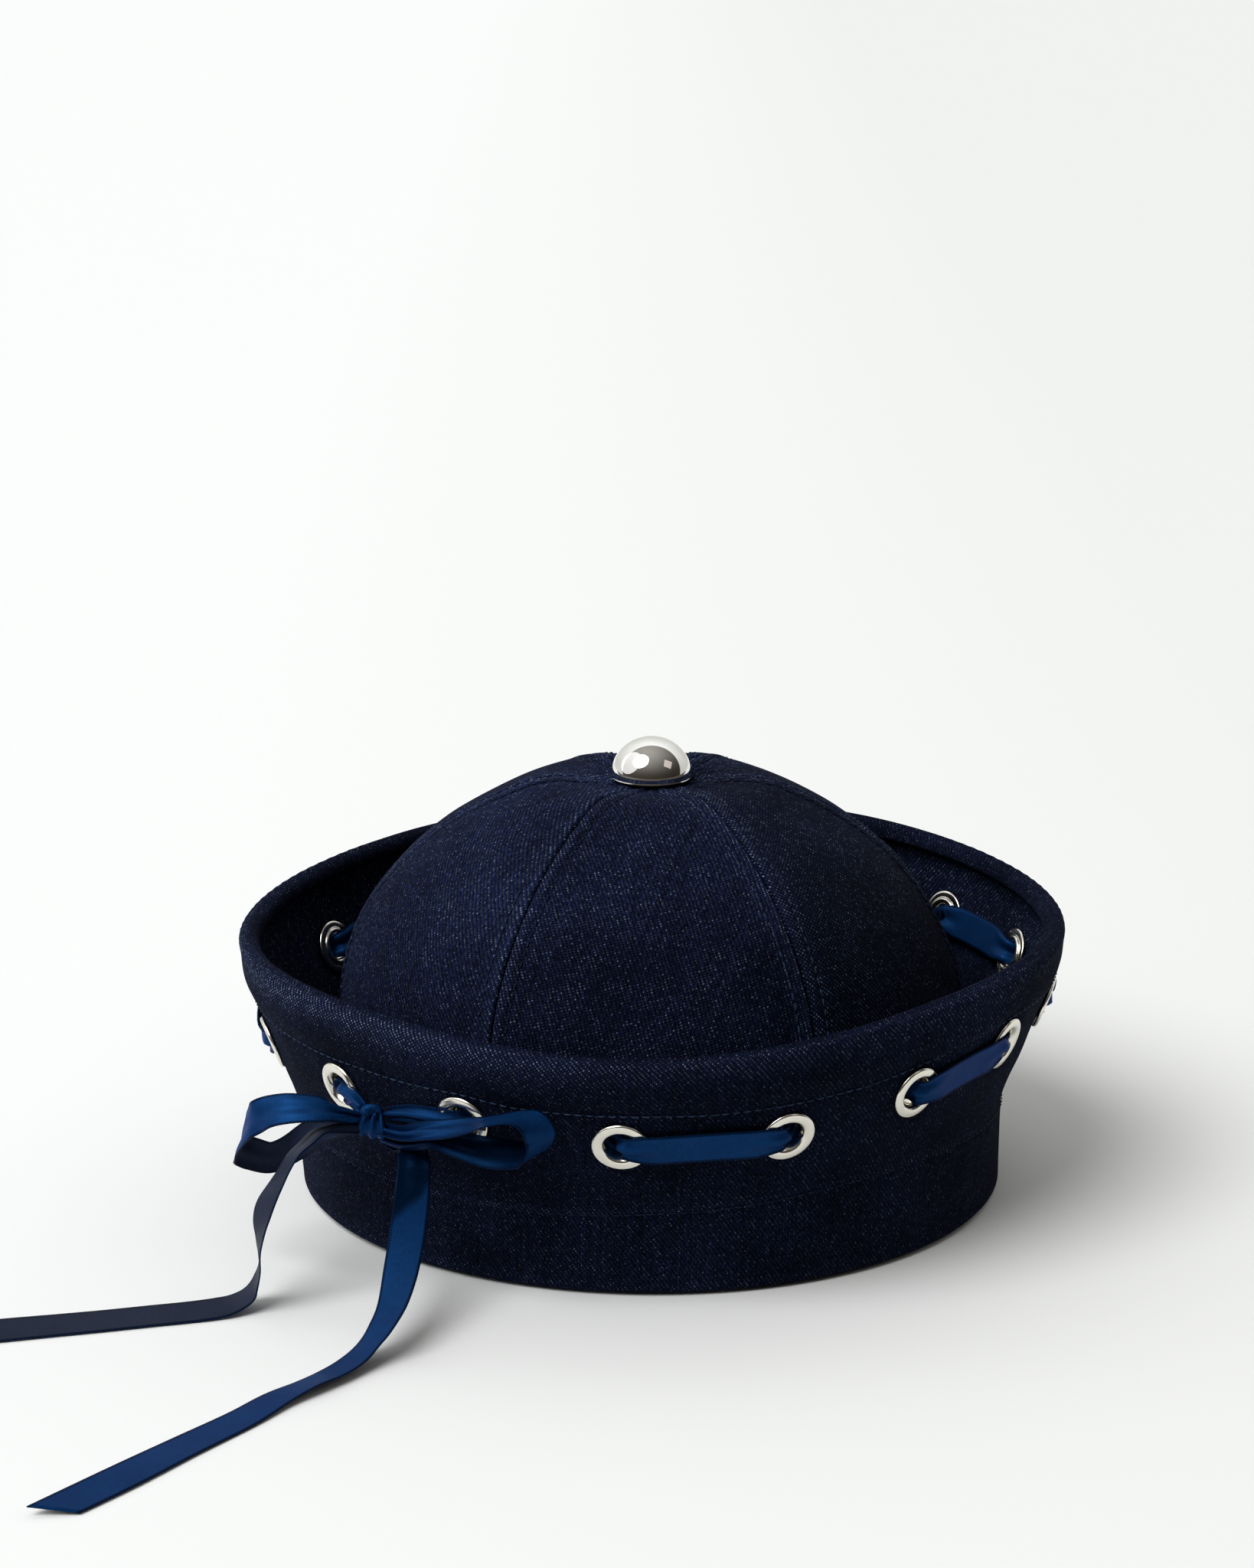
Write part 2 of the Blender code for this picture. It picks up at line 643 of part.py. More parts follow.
def lace_row(azimuth, share, stand_off, width_share):
    middle, upward, _ = brim_spot(azimuth, share, stand_off)
    return middle, upward, RIBBON_WIDTH * width_share


def span_row(index, part, stand_off, width_share):
    """Row part of the way from one eyelet to the next."""
    azimuth, share = EYELETS[index]
    next_azimuth, next_share = EYELETS[index + 1]
    here = azimuth + (next_azimuth - azimuth) * part
    level = share + (next_share - share) * part
    return lace_row(here, level, stand_off, width_share)


def lacing_sections():
    """In and out through every eyelet, from the knot's right side round to its left."""
    flange_top = FIT_GAP + EYELET_RISE
    outside = flange_top + FIT_GAP * 2 + RIBBON_THICKNESS / 2
    inside = -(eyelet_back() + EYELET_RISE + FIT_GAP * 2 + RIBBON_THICKNESS / 2)
    bore_edge = EYELET_BORE_RADIUS / RIM_RADIUS
    # Steps from an eyelet's axis: share of the bore, share of the way out to the face.
    bends = ((0.0, 0.30), (0.20, 0.80), (0.70, 1.0))
    sections = list(reversed(bow_sections(LACE_END_RIGHT)))
    going_in = True
    spread = math.degrees(LACE_SPREAD / RIM_RADIUS)
    for index, (azimuth, share) in enumerate(EYELETS):
        near, far = (outside, inside) if going_in else (inside, outside)
        rows = []
        for bore_share, way in reversed(bends):
            turn = math.degrees(bore_edge * bore_share)
            rows.append(lace_row(azimuth - turn, share, near * way, GATHERED_SHARE))
        for bore_share, way in bends:
            turn = math.degrees(bore_edge * bore_share)
            rows.append(lace_row(azimuth + turn, share, far * way, GATHERED_SHARE))
        if index > 0:
            part = 1 - spread / (azimuth - EYELETS[index - 1][0])
            rows.insert(0, span_row(index - 1, part, near, 0.9))
        if index < len(EYELETS) - 1:
            halfway = far - math.copysign(LACE_LIFT, far) * 0.6
            part = spread / (EYELETS[index + 1][0] - azimuth)
            rows.append(span_row(index, part, far, 0.9))
            for part in (0.38, 0.62):
                rows.append(span_row(index, part, halfway, 0.95))
        sections += rows
        going_in = not going_in
    sections += list(reversed(bow_sections(LACE_END_LEFT)))
    return sections


def build_knot(material):
    """Egg-shaped knot that faces between the front and the left."""
    middle = knot_middle()
    facing = round_point(1.0, KNOT_FACING, 0.0)
    beside = round_point(1.0, KNOT_FACING + 90.0, 0.0)
    mesh = bpy.data.meshes.new("ribbon_knot")
    work = bmesh.new()
    bmesh.ops.create_uvsphere(work, u_segments=12, v_segments=8, radius=1.0)
    for vert in work.verts:
        shape = vert.co.copy()
        vert.co = (middle + beside * shape.x * KNOT_HALF_WIDTH
                   + facing * shape.y * KNOT_HALF_DEPTH
                   + Vector((0.0, 0.0, shape.z * KNOT_HALF_HEIGHT)))
    bmesh.ops.recalc_face_normals(work, faces=work.faces)
    work.to_mesh(mesh)
    work.free()
    mesh.materials.append(material)
    mesh.shade_smooth()
    item = bpy.data.objects.new("ribbon_knot", mesh)
    bpy.context.scene.collection.objects.link(item)
    return item


def build_bow(satin):
    build_knot(satin)
    build_band("ribbon_loop_left", smooth_sections(bow_sections(LOOP_LEFT), 2), satin)
    build_band("ribbon_loop_right", smooth_sections(bow_sections(LOOP_RIGHT), 2), satin)
    build_band("ribbon_tail_right", tail_sections(TAIL_RIGHT), satin, end_slant=TAIL_CUT_SLANT)
    build_band("ribbon_tail_left", tail_sections(TAIL_LEFT), satin, end_slant=-TAIL_CUT_SLANT)


def main():
    clear_scene()
    for index in range(PANEL_COUNT):
        denim = make_material(f"crown denim {index + 1}", (0.020, 0.030, 0.085), 0.85)
        build_crown_panel(index, denim)
    build_stud(make_material("stud chrome", (0.80, 0.79, 0.77), 0.08, 1.0))
    cutter = build_hole_cutter()
    outer = build_brim_layer("brim_outer", outer_section(),
                             make_material("brim denim", (0.022, 0.034, 0.095), 0.85))
    facing = build_brim_layer("brim_facing", facing_section(),
                              make_material("facing denim", (0.016, 0.022, 0.060), 0.90))
    for item in (outer, facing):
        cut_holes(item, cutter)
    for index, (azimuth, share) in enumerate(EYELETS):
        nickel = make_material(f"eyelet nickel {index + 1}", (0.72, 0.70, 0.66), 0.2, 1.0)
        build_eyelet(index, azimuth, share, nickel)
    satin = make_material("ribbon satin", (0.010, 0.045, 0.160), 0.35)
    build_band("ribbon_lacing", lacing_sections(), satin)
    build_bow(satin)


main()
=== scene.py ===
import json
import math

import bpy
import numpy as np
from mathutils import Matrix, Vector

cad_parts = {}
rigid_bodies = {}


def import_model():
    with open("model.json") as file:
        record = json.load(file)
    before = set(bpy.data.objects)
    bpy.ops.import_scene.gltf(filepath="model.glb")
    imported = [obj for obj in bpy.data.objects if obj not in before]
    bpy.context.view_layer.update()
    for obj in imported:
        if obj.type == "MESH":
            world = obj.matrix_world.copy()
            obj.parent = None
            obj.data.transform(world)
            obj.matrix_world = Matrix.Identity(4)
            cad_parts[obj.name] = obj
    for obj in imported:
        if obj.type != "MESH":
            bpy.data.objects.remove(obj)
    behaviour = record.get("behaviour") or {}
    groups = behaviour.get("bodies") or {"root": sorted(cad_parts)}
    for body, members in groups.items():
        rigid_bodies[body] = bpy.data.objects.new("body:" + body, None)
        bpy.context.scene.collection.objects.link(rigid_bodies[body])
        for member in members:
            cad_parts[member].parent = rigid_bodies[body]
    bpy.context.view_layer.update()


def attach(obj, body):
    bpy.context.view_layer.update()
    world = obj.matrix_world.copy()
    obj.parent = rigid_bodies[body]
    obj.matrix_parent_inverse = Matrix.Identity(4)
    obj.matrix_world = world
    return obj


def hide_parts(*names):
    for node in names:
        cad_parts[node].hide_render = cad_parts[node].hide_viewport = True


# Looks of the sailor cap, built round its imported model. Metres, +Z up, and the front of the
# cap looks along -Y. An azimuth is measured from -Y towards +X.

for item in list(bpy.data.objects):
    bpy.data.objects.remove(item, do_unlink=True)
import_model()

MM = 0.001
BODY = "root"
SCENE = bpy.context.scene

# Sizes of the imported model. The dressed cloth is thinner than the solids by SHELL_EASE.
FIT_GAP = 0.3 * MM
SHELL_EASE = 0.1 * MM
CROWN_RADIUS = 92.2 * MM
CROWN_FOOT_SPREAD = 1.2 * MM
CROWN_HEIGHT = 128.0 * MM
CROWN_SHOULDER = 48.0 * MM
CROWN_WALL = 1.4 * MM
CROWN_SIDE_POWER = 1.77
CROWN_TOP_POWER = 2.15
SEAT_DEPTH = 7.6 * MM
SEAT_RADIUS = 37.0 * MM
PANEL_COUNT = 6
SEAM_RIDGE = 1.1 * MM
CROWN_DENTS = (
    # azimuth, height share, half width in degrees, half height share, depth share
    (98.0, 0.64, 26.0, 0.12, 0.022),
    (-60.0, 0.60, 22.0, 0.15, -0.010),
    (8.0, 0.80, 20.0, 0.12, 0.006),
)
STUD_LIP_RADIUS = 12.2 * MM
STUD_HEIGHT = 11.8 * MM
STUD_HOLE_RADIUS = 2.4 * MM
BRIM_WALL = 1.3 * MM
BASE_RADIUS = 104.3 * MM
BASE_BEND = 2.2 * MM
BASE_SEAM = 2.0 * MM
RIM_RADIUS = 119.8 * MM
RIM_HEIGHT = 76.4 * MM
ROLL_RADIUS = 3.4 * MM
BRIM_FLARE = (
    # height share of RIM_HEIGHT, share of the flare from BASE_RADIUS to RIM_RADIUS
    (0.34, 0.02),
    (0.47, 0.19),
    (0.58, 0.39),
    (0.80, 0.77),
    (0.89, 0.96),
)
RIM_WAVES = (
    # waves round the rim, azimuth of a crest, outward share of radius, upward share of height
    (1, 154.0, 0.000, 0.060),
    (4, 0.0, 0.023, -0.010),
)
EYELETS = (
    # azimuth, height on the brim as a share of RIM_HEIGHT
    (-27.5, 0.702),
    (-4.5, 0.668),
    (19.0, 0.663),
    (40.5, 0.713),
    (61.0, 0.760),
    (82.0, 0.752),
    (103.0, 0.744),
    (124.0, 0.741),
    (144.0, 0.732),
    (164.0, 0.722),
    (184.0, 0.712),
    (204.0, 0.704),
    (223.0, 0.700),
    (242.5, 0.696),
    (281.5, 0.652),
    (308.5, 0.681),
)
EYELET_FLANGE_RADIUS = 8.0 * MM
EYELET_BORE_RADIUS = 4.3 * MM
EYELET_RISE = 1.0 * MM
EYELET_BACK = 3.65 * MM
RIBBON_WIDTH = 10.0 * MM
RIBBON_CLOTH = 0.34 * MM
LACE_SPREAD = 9.0 * MM
LACE_CLEARANCE = 0.45 * MM

KNOT_AZIMUTH = -42.7
KNOT_SHARE = 0.630
KNOT_STAND_OFF = 5.0 * MM
KNOT_FACING = -28.0

# Given points of the bow. Each row holds right, back, up, width share, across right, across
# back and across up. The first three are millimetres from the middle of the knot, but a tail's
# height is a share of the knot's. The across columns point along the ribbon's width.
LOOP_LEFT = (
    (-3.5, -2.1, 2.1, 0.3, -0.1, 0.6, 0.8),
    (-9.2, -6.2, 5.2, 0.6, -0.15, 0.83, 0.53),
    (-14, -8.2, 6.9, 0.83, -0.04, 0.79, 0.62),
    (-21.9, -8.2, 7.1, 0.92, -0.04, 0.71, 0.7),
    (-28, -6.2, 5.5, 0.97, 0.01, 0.63, 0.77),
    (-32.6, -3.2, 2.5, 0.96, 0.2, 0, 0.98),
    (-35.3, 0.8, -1.4, 0.98, 0.25, 0, 0.97),
    (-37.7, 5.8, -8.1, 0.93, 0.31, -0.15, 0.94),
    (-37.9, 10.8, -11.8, 0.93, 0.28, -0.06, 0.96),
    (-35.2, 14.8, -14.6, 0.95, 0.07, 0, 1),
    (-29.7, 16.8, -16.3, 0.93, 0.02, 0, 1),
    (-22.7, 18.3, -13.1, 0.9, 0.15, -0.1, 1),
    (-17.5, 15.8, -8.5, 0.82, 0.1, -0.2, 1),
    (-11.3, 9.6, -4.9, 0.62, 0, -0.3, 1),
    (-4.2, 2.9, -1.5, 0.4, 0, -0.3, 1),
)
LOOP_RIGHT = (
    (3, -4.4, -0.6, 0.38, 0, 0.8, 0.5),
    (8.7, -11.1, 0.5, 0.46, -0.05, 0.85, 0.5),
    (15.3, -18.2, 3.7, 0.66, -0.1, 0.92, 0.38),
    (22.7, -23.2, 6.2, 0.84, 0.06, 0.95, 0.3),
    (29.4, -27.2, 8.6, 0.95, 0.34, 0.93, 0.16),
    (34.8, -29.7, 11, 1, 0.41, 0.91, 0.03),
    (41.1, -31.7, 12.5, 1, 0.46, 0.89, 0.08),
    (45.4, -32.7, 11, 1, 0.67, 0.69, 0.26),
    (47.7, -32.2, 6.4, 1, 0.8, 0.5, 0.33),
    (45.9, -30.7, 1.3, 1, 0.57, 0.82, 0.03),
    (42.8, -28.7, 0.5, 0.98, 0.35, 0.84, 0.42),
    (33.7, -25.2, 0.1, 0.95, 0.09, 0.74, 0.67),
    (25.4, -21.7, 1.1, 0.85, 0.05, 0.82, 0.57),
    (17.8, -17.2, 1.4, 0.65, 0, 0.9, 0.43),
    (9.4, -10.5, -2.1, 0.42, 0, 0.5, 0.85),
    (3.1, -4.2, -2.8, 0.34, 0, 0.5, 0.85),
)
KNOT_CURL = (
    (-1.9, -3.5, 3.5, 0.24, 0.3, 0.9, 0.2),
    (-1.6, -3.4, 4.6, 0.26, 0.3, 0.9, 0.2),
    (-0.3, -3.3, 5.2, 0.28, 0.2, 0.95, 0.2),
    (1.2, -3.3, 5, 0.28, 0, 0.97, 0.2),
    (1.8, -3.4, 4, 0.26, -0.1, 0.97, 0.1),
    (1.2, -3.6, 3, 0.22, -0.1, 0.97, 0.1),
)
KNOT_WRAP = (
    (1, 1.4, 3.2, 0.4, 0.9, -0.35, -0.2),
    (0.9, -1.2, 3.9, 0.4, 0.9, -0.35, -0.24),
    (0.6, -3.1, 3.3, 0.5, 0.92, -0.33, -0.3),
    (0.2, -4.2, 1.6, 0.7, 0.92, -0.3, -0.34),
    (-0.1, -4.5, -0.3, 0.84, 0.92, -0.3, -0.34),
    (-0.1, -4, -2.1, 0.88, 0.93, -0.3, -0.3),
    (0, -2.6, -3.4, 0.82, 0.93, -0.32, -0.24),
    (0.2, 0, -3.7, 0.62, 0.93, -0.35, -0.2),
)
TAIL_RIGHT = (
    (2.8, -2.4, 0.91, 0.2, 0.7, -0.2, 0.55),
    (7.5, -5.1, 0.885, 0.38, 0.9, -0.2, 0.4),
    (11.1, -8.2, 0.893, 0.74, 1, -0.1, 0.1),
    (11.8, -11.2, 0.855, 0.87, 1, 0, -0.08),
    (12.1, -13, 0.811, 0.91, 1, -0.02, -0.12),
    (11.8, -16, 0.694, 0.97, 0.98, 0.12, -0.12),
    (11.3, -25.5, 0.572, 1, 0.99, 0.02, -0.06),
    (10.2, -38.9, 0.422, 1, 0.99, -0.12, 0.03),
    (8.3, -52.2, 0.269, 1, 0.87, -0.43, 0.25),
    (5.6, -60.6, 0.187, 1, 0.75, -0.6, 0.27),
    (2.2, -65.2, 0.106, 1, 0.69, -0.66, 0.3),
    (-2, -71.1, 0.054, 1, 0.75, -0.61, 0.22),
    (-7.1, -78.1, 0.038, 1, 0.77, -0.61, 0.19),
    (-13, -85, 0.038, 1, 0.73, -0.64, 0.22),
    (-20.2, -93.3, 0.027, 1, 0.83, -0.55, 0.09),
    (-28.4, -106.1, 0.02, 1, 0.82, -0.57, -0.03),
    (-41.8, -124.8, 0.027, 1, 0.79, -0.6, -0.1),
    (-54.9, -144.1, 0.038, 1, 0.79, -0.58, -0.2),
    (-69.3, -163, 0.036, 1, 0.79, -0.58, -0.2),
)
TAIL_LEFT = (
    (-4, -2.3, 0.987, 0.32, -0.3, 0.85, 0.2),
    (-9.4, -6, 1.011, 0.5, -0.45, 0.85, -0.1),
    (-14.3, -8.2, 1.008, 0.76, -0.47, 0.87, -0.16),
    (-17.9, -11.1, 0.953, 0.94, -0.49, 0.83, -0.28),
    (-21.3, -14, 0.894, 1, -0.43, 0.85, -0.31),
    (-24, -16.6, 0.804, 1, -0.43, 0.84, -0.32),
    (-26.2, -19.3, 0.728, 1, -0.51, 0.81, -0.28),
    (-28.3, -21.7, 0.645, 1, -0.57, 0.79, -0.22),
    (-29.4, -23.7, 0.563, 1, -0.53, 0.8, -0.28),
    (-29.9, -25.7, 0.463, 1, -0.31, 0.9, -0.29),
    (-30.2, -26.7, 0.37, 1, -0.16, 0.98, -0.13),
    (-30, -26.8, 0.271, 1, -0.1, 0.99, 0),
    (-30.8, -26.7, 0.187, 1, -0.13, 0.99, 0.04),
    (-32.1, -26.8, 0.12, 1, -0.3, 0.95, -0.11),
    (-34.9, -28.6, 0.068, 1, -0.5, 0.87, -0.03),
    (-40.3, -31.7, 0.043, 1, -0.38, 0.9, 0.16),
    (-48.4, -34.3, 0.036, 1, -0.22, 0.96, 0.19),
    (-58.6, -37.1, 0.036, 1, -0.21, 0.96, 0.19),
    (-72.7, -41.1, 0.036, 1, -0.22, 0.96, 0.2),
    (-86.8, -44.9, 0.038, 1, -0.22, 0.95, 0.22),
    (-97.8, -48, 0.041, 1, -0.2, 0.94, 0.24),
    (-113.2, -52.2, 0.041, 1, -0.2, 0.94, 0.24),
)
TAIL_CUT_SLANT = 4.2 * MM
LACE_END_RIGHT = (
    (14.7, -11.4, 5.7, 0.64, 0, -0.1, 1),
    (9.5, -7.4, 5.3, 0.48, 0, 0.1, 1),
    (3.9, -2.5, 3.4, 0.34, 0, 0.3, 0.95),
)
LACE_END_LEFT = (
    (-3.2, 3.1, 3, 0.36, 0.6, 0.3, 0.75),
    (-6.3, 7.4, 4.9, 0.48, 0.35, 0, 0.9),
)


# Small helpers

def unit(vectors):
    vectors = np.asarray(vectors, float)
    return vectors / np.maximum(np.linalg.norm(vectors, axis=-1, keepdims=True), 1e-12)


def ease(value):
    value = np.clip(value, 0.0, 1.0)
    return value * value * (3 - 2 * value)


def bell(distance, width):
    return np.exp(-(np.asarray(distance) / width) ** 2)


def bells(distance, table):
    """Sum of bells, each given by its strength, its place and its width."""
    return sum(strength * bell(distance - place, width) for strength, place, width in table)


def wrapped(angle):
    """The same angle in degrees, from -180 to 180."""
    return (np.asarray(angle) + 180.0) % 360.0 - 180.0


def together(*values):
    """Points or pairs made of the given coordinates."""
    return np.stack(np.broadcast_arrays(*values), axis=-1)


def round_points(radius, azimuth, height):
    angle = np.radians(azimuth)
    return together(radius * np.sin(angle), -radius * np.cos(angle), height)


def lattice_noise(x, y, seed, wrap=0):
    """Smooth noise from -1 to 1 on a plane; wrap repeats it after that many cells of x."""
    table = np.random.default_rng(seed).uniform(-1, 1, (64, 64))
    x, y = np.broadcast_arrays(np.asarray(x, float), np.asarray(y, float))
    column, row = np.floor(x).astype(int), np.floor(y).astype(int)
    share_x, share_y = ease(x - column), ease(y - row)
    total = 0.0
    for step_x, weight_x in ((0, 1 - share_x), (1, share_x)):
        cell = (column + step_x) % wrap if wrap else column + step_x
        for step_y, weight_y in ((0, 1 - share_y), (1, share_y)):
            total = total + table[cell % 64, (row + step_y) % 64] * weight_x * weight_y
    return total


def smooth_rows(rows, steps):
    """Rows on a smooth curve through the given ones."""
    rows = np.asarray(rows, float)
    padded = np.pad(rows, ((1, 1), (0, 0)), "edge")[:, None]
    before, start, end, after = (padded[shift:shift + len(rows) - 1] for shift in range(4))
    part = (np.arange(steps) / steps)[:, None]
    filled = 0.5 * (2 * start + (end - before) * part
                    + (2 * before - 5 * start + 4 * end - after) * part ** 2
                    + (3 * start - before - 3 * end + after) * part ** 3)
    return np.concatenate([filled.reshape(-1, rows.shape[1]), rows[-1:]])


def along(line):
    """Distance of each point of a line from its start."""
    steps = np.linalg.norm(np.diff(line, axis=0), axis=1)
    return np.concatenate([[0.0], np.cumsum(steps)])


def resample(line, places, values=None):
    """A line's points, or the values given for them, at distances from its start."""
    values = line if values is None else values
    distance = along(line)
    return together(*(np.interp(places, distance, column) for column in values.T))


def grid_normals(points, closed):
    """Outward normals of a grid whose rows go up and whose columns go round."""
    if closed:
        sideways = np.roll(points, -1, axis=1) - np.roll(points, 1, axis=1)
    else:
        sideways = np.gradient(points, axis=1)
    return unit(np.cross(sideways, np.gradient(points, axis=0)))


def grid_quads(rows, columns, closed, closed_rows=False, turned_over=False):
    """Faces of a grid of points, which look outward where its rows go up."""
    row, column = np.mgrid[:rows if closed_rows else rows - 1,
                           :columns if closed else columns - 1]
    low, high, after = row * columns, (row + 1) % rows * columns, (column + 1) % columns
    quads = together(low + column, low + after, high + after, high + column).reshape(-1, 4)
    return quads[:, [0, 3, 2, 1]] if turned_over else quads


def corner_values(grid):
    """The values at the corners of each face of a grid."""
    corners = np.stack([grid[:-1, :-1], grid[:-1, 1:], grid[1:, 1:], grid[1:, :-1]], axis=2)
    return corners.reshape(-1, 4, grid.shape[-1])


def place_item(name, data, place=(0.0, 0.0, 0.0), turn=(0.0, 0.0, 0.0)):
    item = bpy.data.objects.new(name, data)
    item.location, item.rotation_euler = place, turn
    SCENE.collection.objects.link(item)
    return item


def add_piece(piece, points, faces, uvs=None):
    """A mesh that rides on the cap. A piece is a name, a slot, which is not used, the solid it
    replaces if it replaces one, and its materials.
    """
    name, slot, stands_for, *materials = piece
    mesh = bpy.data.meshes.new(name)
    mesh.from_pydata(np.asarray(points).reshape(-1, 3).tolist(), [], faces)
    mesh.shade_smooth()
    if uvs is not None:
        layer = mesh.uv_layers.new(name="weave")
        layer.data.foreach_set("uv", np.asarray(uvs, np.float32).ravel())
    for material in materials:
        mesh.materials.append(material)
    item = place_item(name, mesh)
    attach(item, BODY)
    if stands_for:
        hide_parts(stands_for)
    return item


def add_sheet(piece, front, rear, quads, corner_uv):
    """A sheet with a front and a rear grid of points, and sides at every open edge."""
    count = front.size // 3
    starts, ends = quads.ravel(), np.roll(quads, -1, axis=1).ravel()
    start_uv = corner_uv.reshape(-1, 2)
    end_uv = np.roll(corner_uv, -1, axis=1).reshape(-1, 2)
    edge = ~np.isin(starts * count + ends, ends * count + starts)
    start, end, start_uv, end_uv = starts[edge], ends[edge], start_uv[edge], end_uv[edge]
    sides = together(end, start, start + count, end + count)
    side_uv = np.stack([end_uv, start_uv, start_uv, end_uv], axis=1)
    return add_piece(piece, np.concatenate([front.reshape(-1, 3), rear.reshape(-1, 3)]),
                     np.concatenate([quads, quads[:, ::-1] + count, sides]).tolist(),
                     np.concatenate([corner_uv, corner_uv[:, ::-1], side_uv]))


def add_values(item, name, front, rear=None):
    """Values for the points of a sheet's front and rear, the same ones if rear isn't given."""
    rear = front if rear is None else rear
    layer = item.data.attributes.new(name, "FLOAT", "POINT")
    values = np.concatenate([np.ravel(front), np.ravel(rear)])
    layer.data.foreach_set("value", values.astype(np.float32))


def cloth_shell(piece, outer, wall, weave, wear, closed=False, cut=None, **values):
    """Cloth behind a grid of outer points, for a solid of that wall, closed at every edge."""
    inner = outer - grid_normals(outer, closed) * (wall - SHELL_EASE)
    shape = outer.shape[:2]
    quads, corner_uv = grid_quads(*shape, closed), corner_values(weave)
    kept = slice(None) if cut is None else ~cut.ravel()
    item = add_sheet(piece, outer, inner, quads[kept], corner_uv[kept])
    wear = np.broadcast_to(wear, shape)
    add_values(item, "wear", wear, wear * 0.5)
    for key, value in values.items():
        add_values(item, key, np.broadcast_to(value, shape))


# Crown

CROWN_ROWS = 150
PANEL_HALF_COLUMNS = 40
PANEL_GAP = 0.05 * MM
STITCH_OFFSET = 4.6 * MM
EDGE_DROP, EDGE_WIDTH = 1.0 * MM, 1.1 * MM
ALLOWANCE_RISE = 0.42 * MM
CROWN_GROOVE = 0.30 * MM
CROWN_PUCKER, PUCKER_PITCH = 0.17 * MM, 3.4 * MM
SOFT_FOLD, FINE_FOLD = 0.45 * MM, 0.16 * MM
TOP_PULL, TOP_PULL_COUNT = 0.22 * MM, 24
# Strength of the wear, millimetres from the seam, millimetres wide
CROWN_WEAR = ((0.75, 1.5, 1.3), (0.30, 5.6, 1.1))
SOFT_WEAR = 0.25
# The panels are cut with the twill in other directions. The first table is painted shade and
# light: it darkens each panel's colour, or lightens it where negative, so the right side is darker
# and the left front lighter, as the light falls from the left. The top is painted lighter too.
PANEL_PAINTED_SHADE = (0.17, 0.58, 0.20, 0.0, 0.0, -0.26)
PANEL_LEAN = (20.0, 0.0, 0.0, 15.0, -10.0, -8.0)
TOP_PAINTED_LIGHT, TOP_PAINTED_LIGHT_START, TOP_PAINTED_LIGHT_REACH = 0.36, 80 * MM, 40 * MM


def seat_dip(radius):
    share = np.minimum(radius / SEAT_RADIUS, 1.0)
    return SEAT_DEPTH * (1 - share ** 2) ** 2


def crown_line():
    """Dense outer (radius, height) line of the crown from its foot to the stud's hole."""
    foot = BRIM_WALL + FIT_GAP
    heights = np.linspace(foot, CROWN_SHOULDER, 40)
    spread = CROWN_FOOT_SPREAD * (1 - (heights - foot) / (CROWN_SHOULDER - foot))
    low = together(CROWN_RADIUS + spread, heights)
    angle = np.linspace(0.0, math.pi / 2, 400)[1:]
    radius = CROWN_RADIUS * np.cos(angle) ** (2 / CROWN_SIDE_POWER)
    rise = (CROWN_HEIGHT - CROWN_SHOULDER) * np.sin(angle) ** (2 / CROWN_TOP_POWER)
    high = together(radius, CROWN_SHOULDER + rise - seat_dip(radius))
    return np.concatenate([low, high[radius > STUD_HOLE_RADIUS]])


def crown_shift(azimuth, height):
    share = height / CROWN_HEIGHT
    inward = 0.0
    for middle, level, half_width, half_height, depth in CROWN_DENTS:
        reach = (wrapped(azimuth - middle) / half_width) ** 2 + ((share - level) / half_height) ** 2
        inward = inward + depth * CROWN_RADIUS * np.exp(-reach)
    bend = (height - CROWN_SHOULDER) / (CROWN_HEIGHT - CROWN_SHOULDER)
    swell = np.sin(math.pi * np.clip(bend, 0.0, 1.0))
    return SEAM_RIDGE * swell * -np.cos(np.radians(azimuth * PANEL_COUNT)) - inward


def crown_point(azimuth, radius, height):
    shift = crown_shift(azimuth, height) * np.minimum(radius / CROWN_RADIUS * 3, 1.0)
    return round_points(radius + shift, azimuth, height)


def panel_relief(distance, run, seed, to_middle):
    """Outward relief beside a seam: turned edge, sewn allowance, pressed stitching, puckers."""
    edge = -EDGE_DROP * (1 - np.clip(distance / EDGE_WIDTH, 0, 1)) ** 2
    allowance = ALLOWANCE_RISE * (1 - ease((distance - 3.4 * MM) / (2.4 * MM)))
    groove = -CROWN_GROOVE * bell(distance - STITCH_OFFSET, 0.75 * MM)
    pull = lattice_noise(run / PUCKER_PITCH, seed * 7.3, seed)
    pucker = CROWN_PUCKER * pull * bell(distance - 3.0 * MM, 3.4 * MM)
    return edge + (allowance + groove + pucker) * ease(to_middle / (7 * MM))


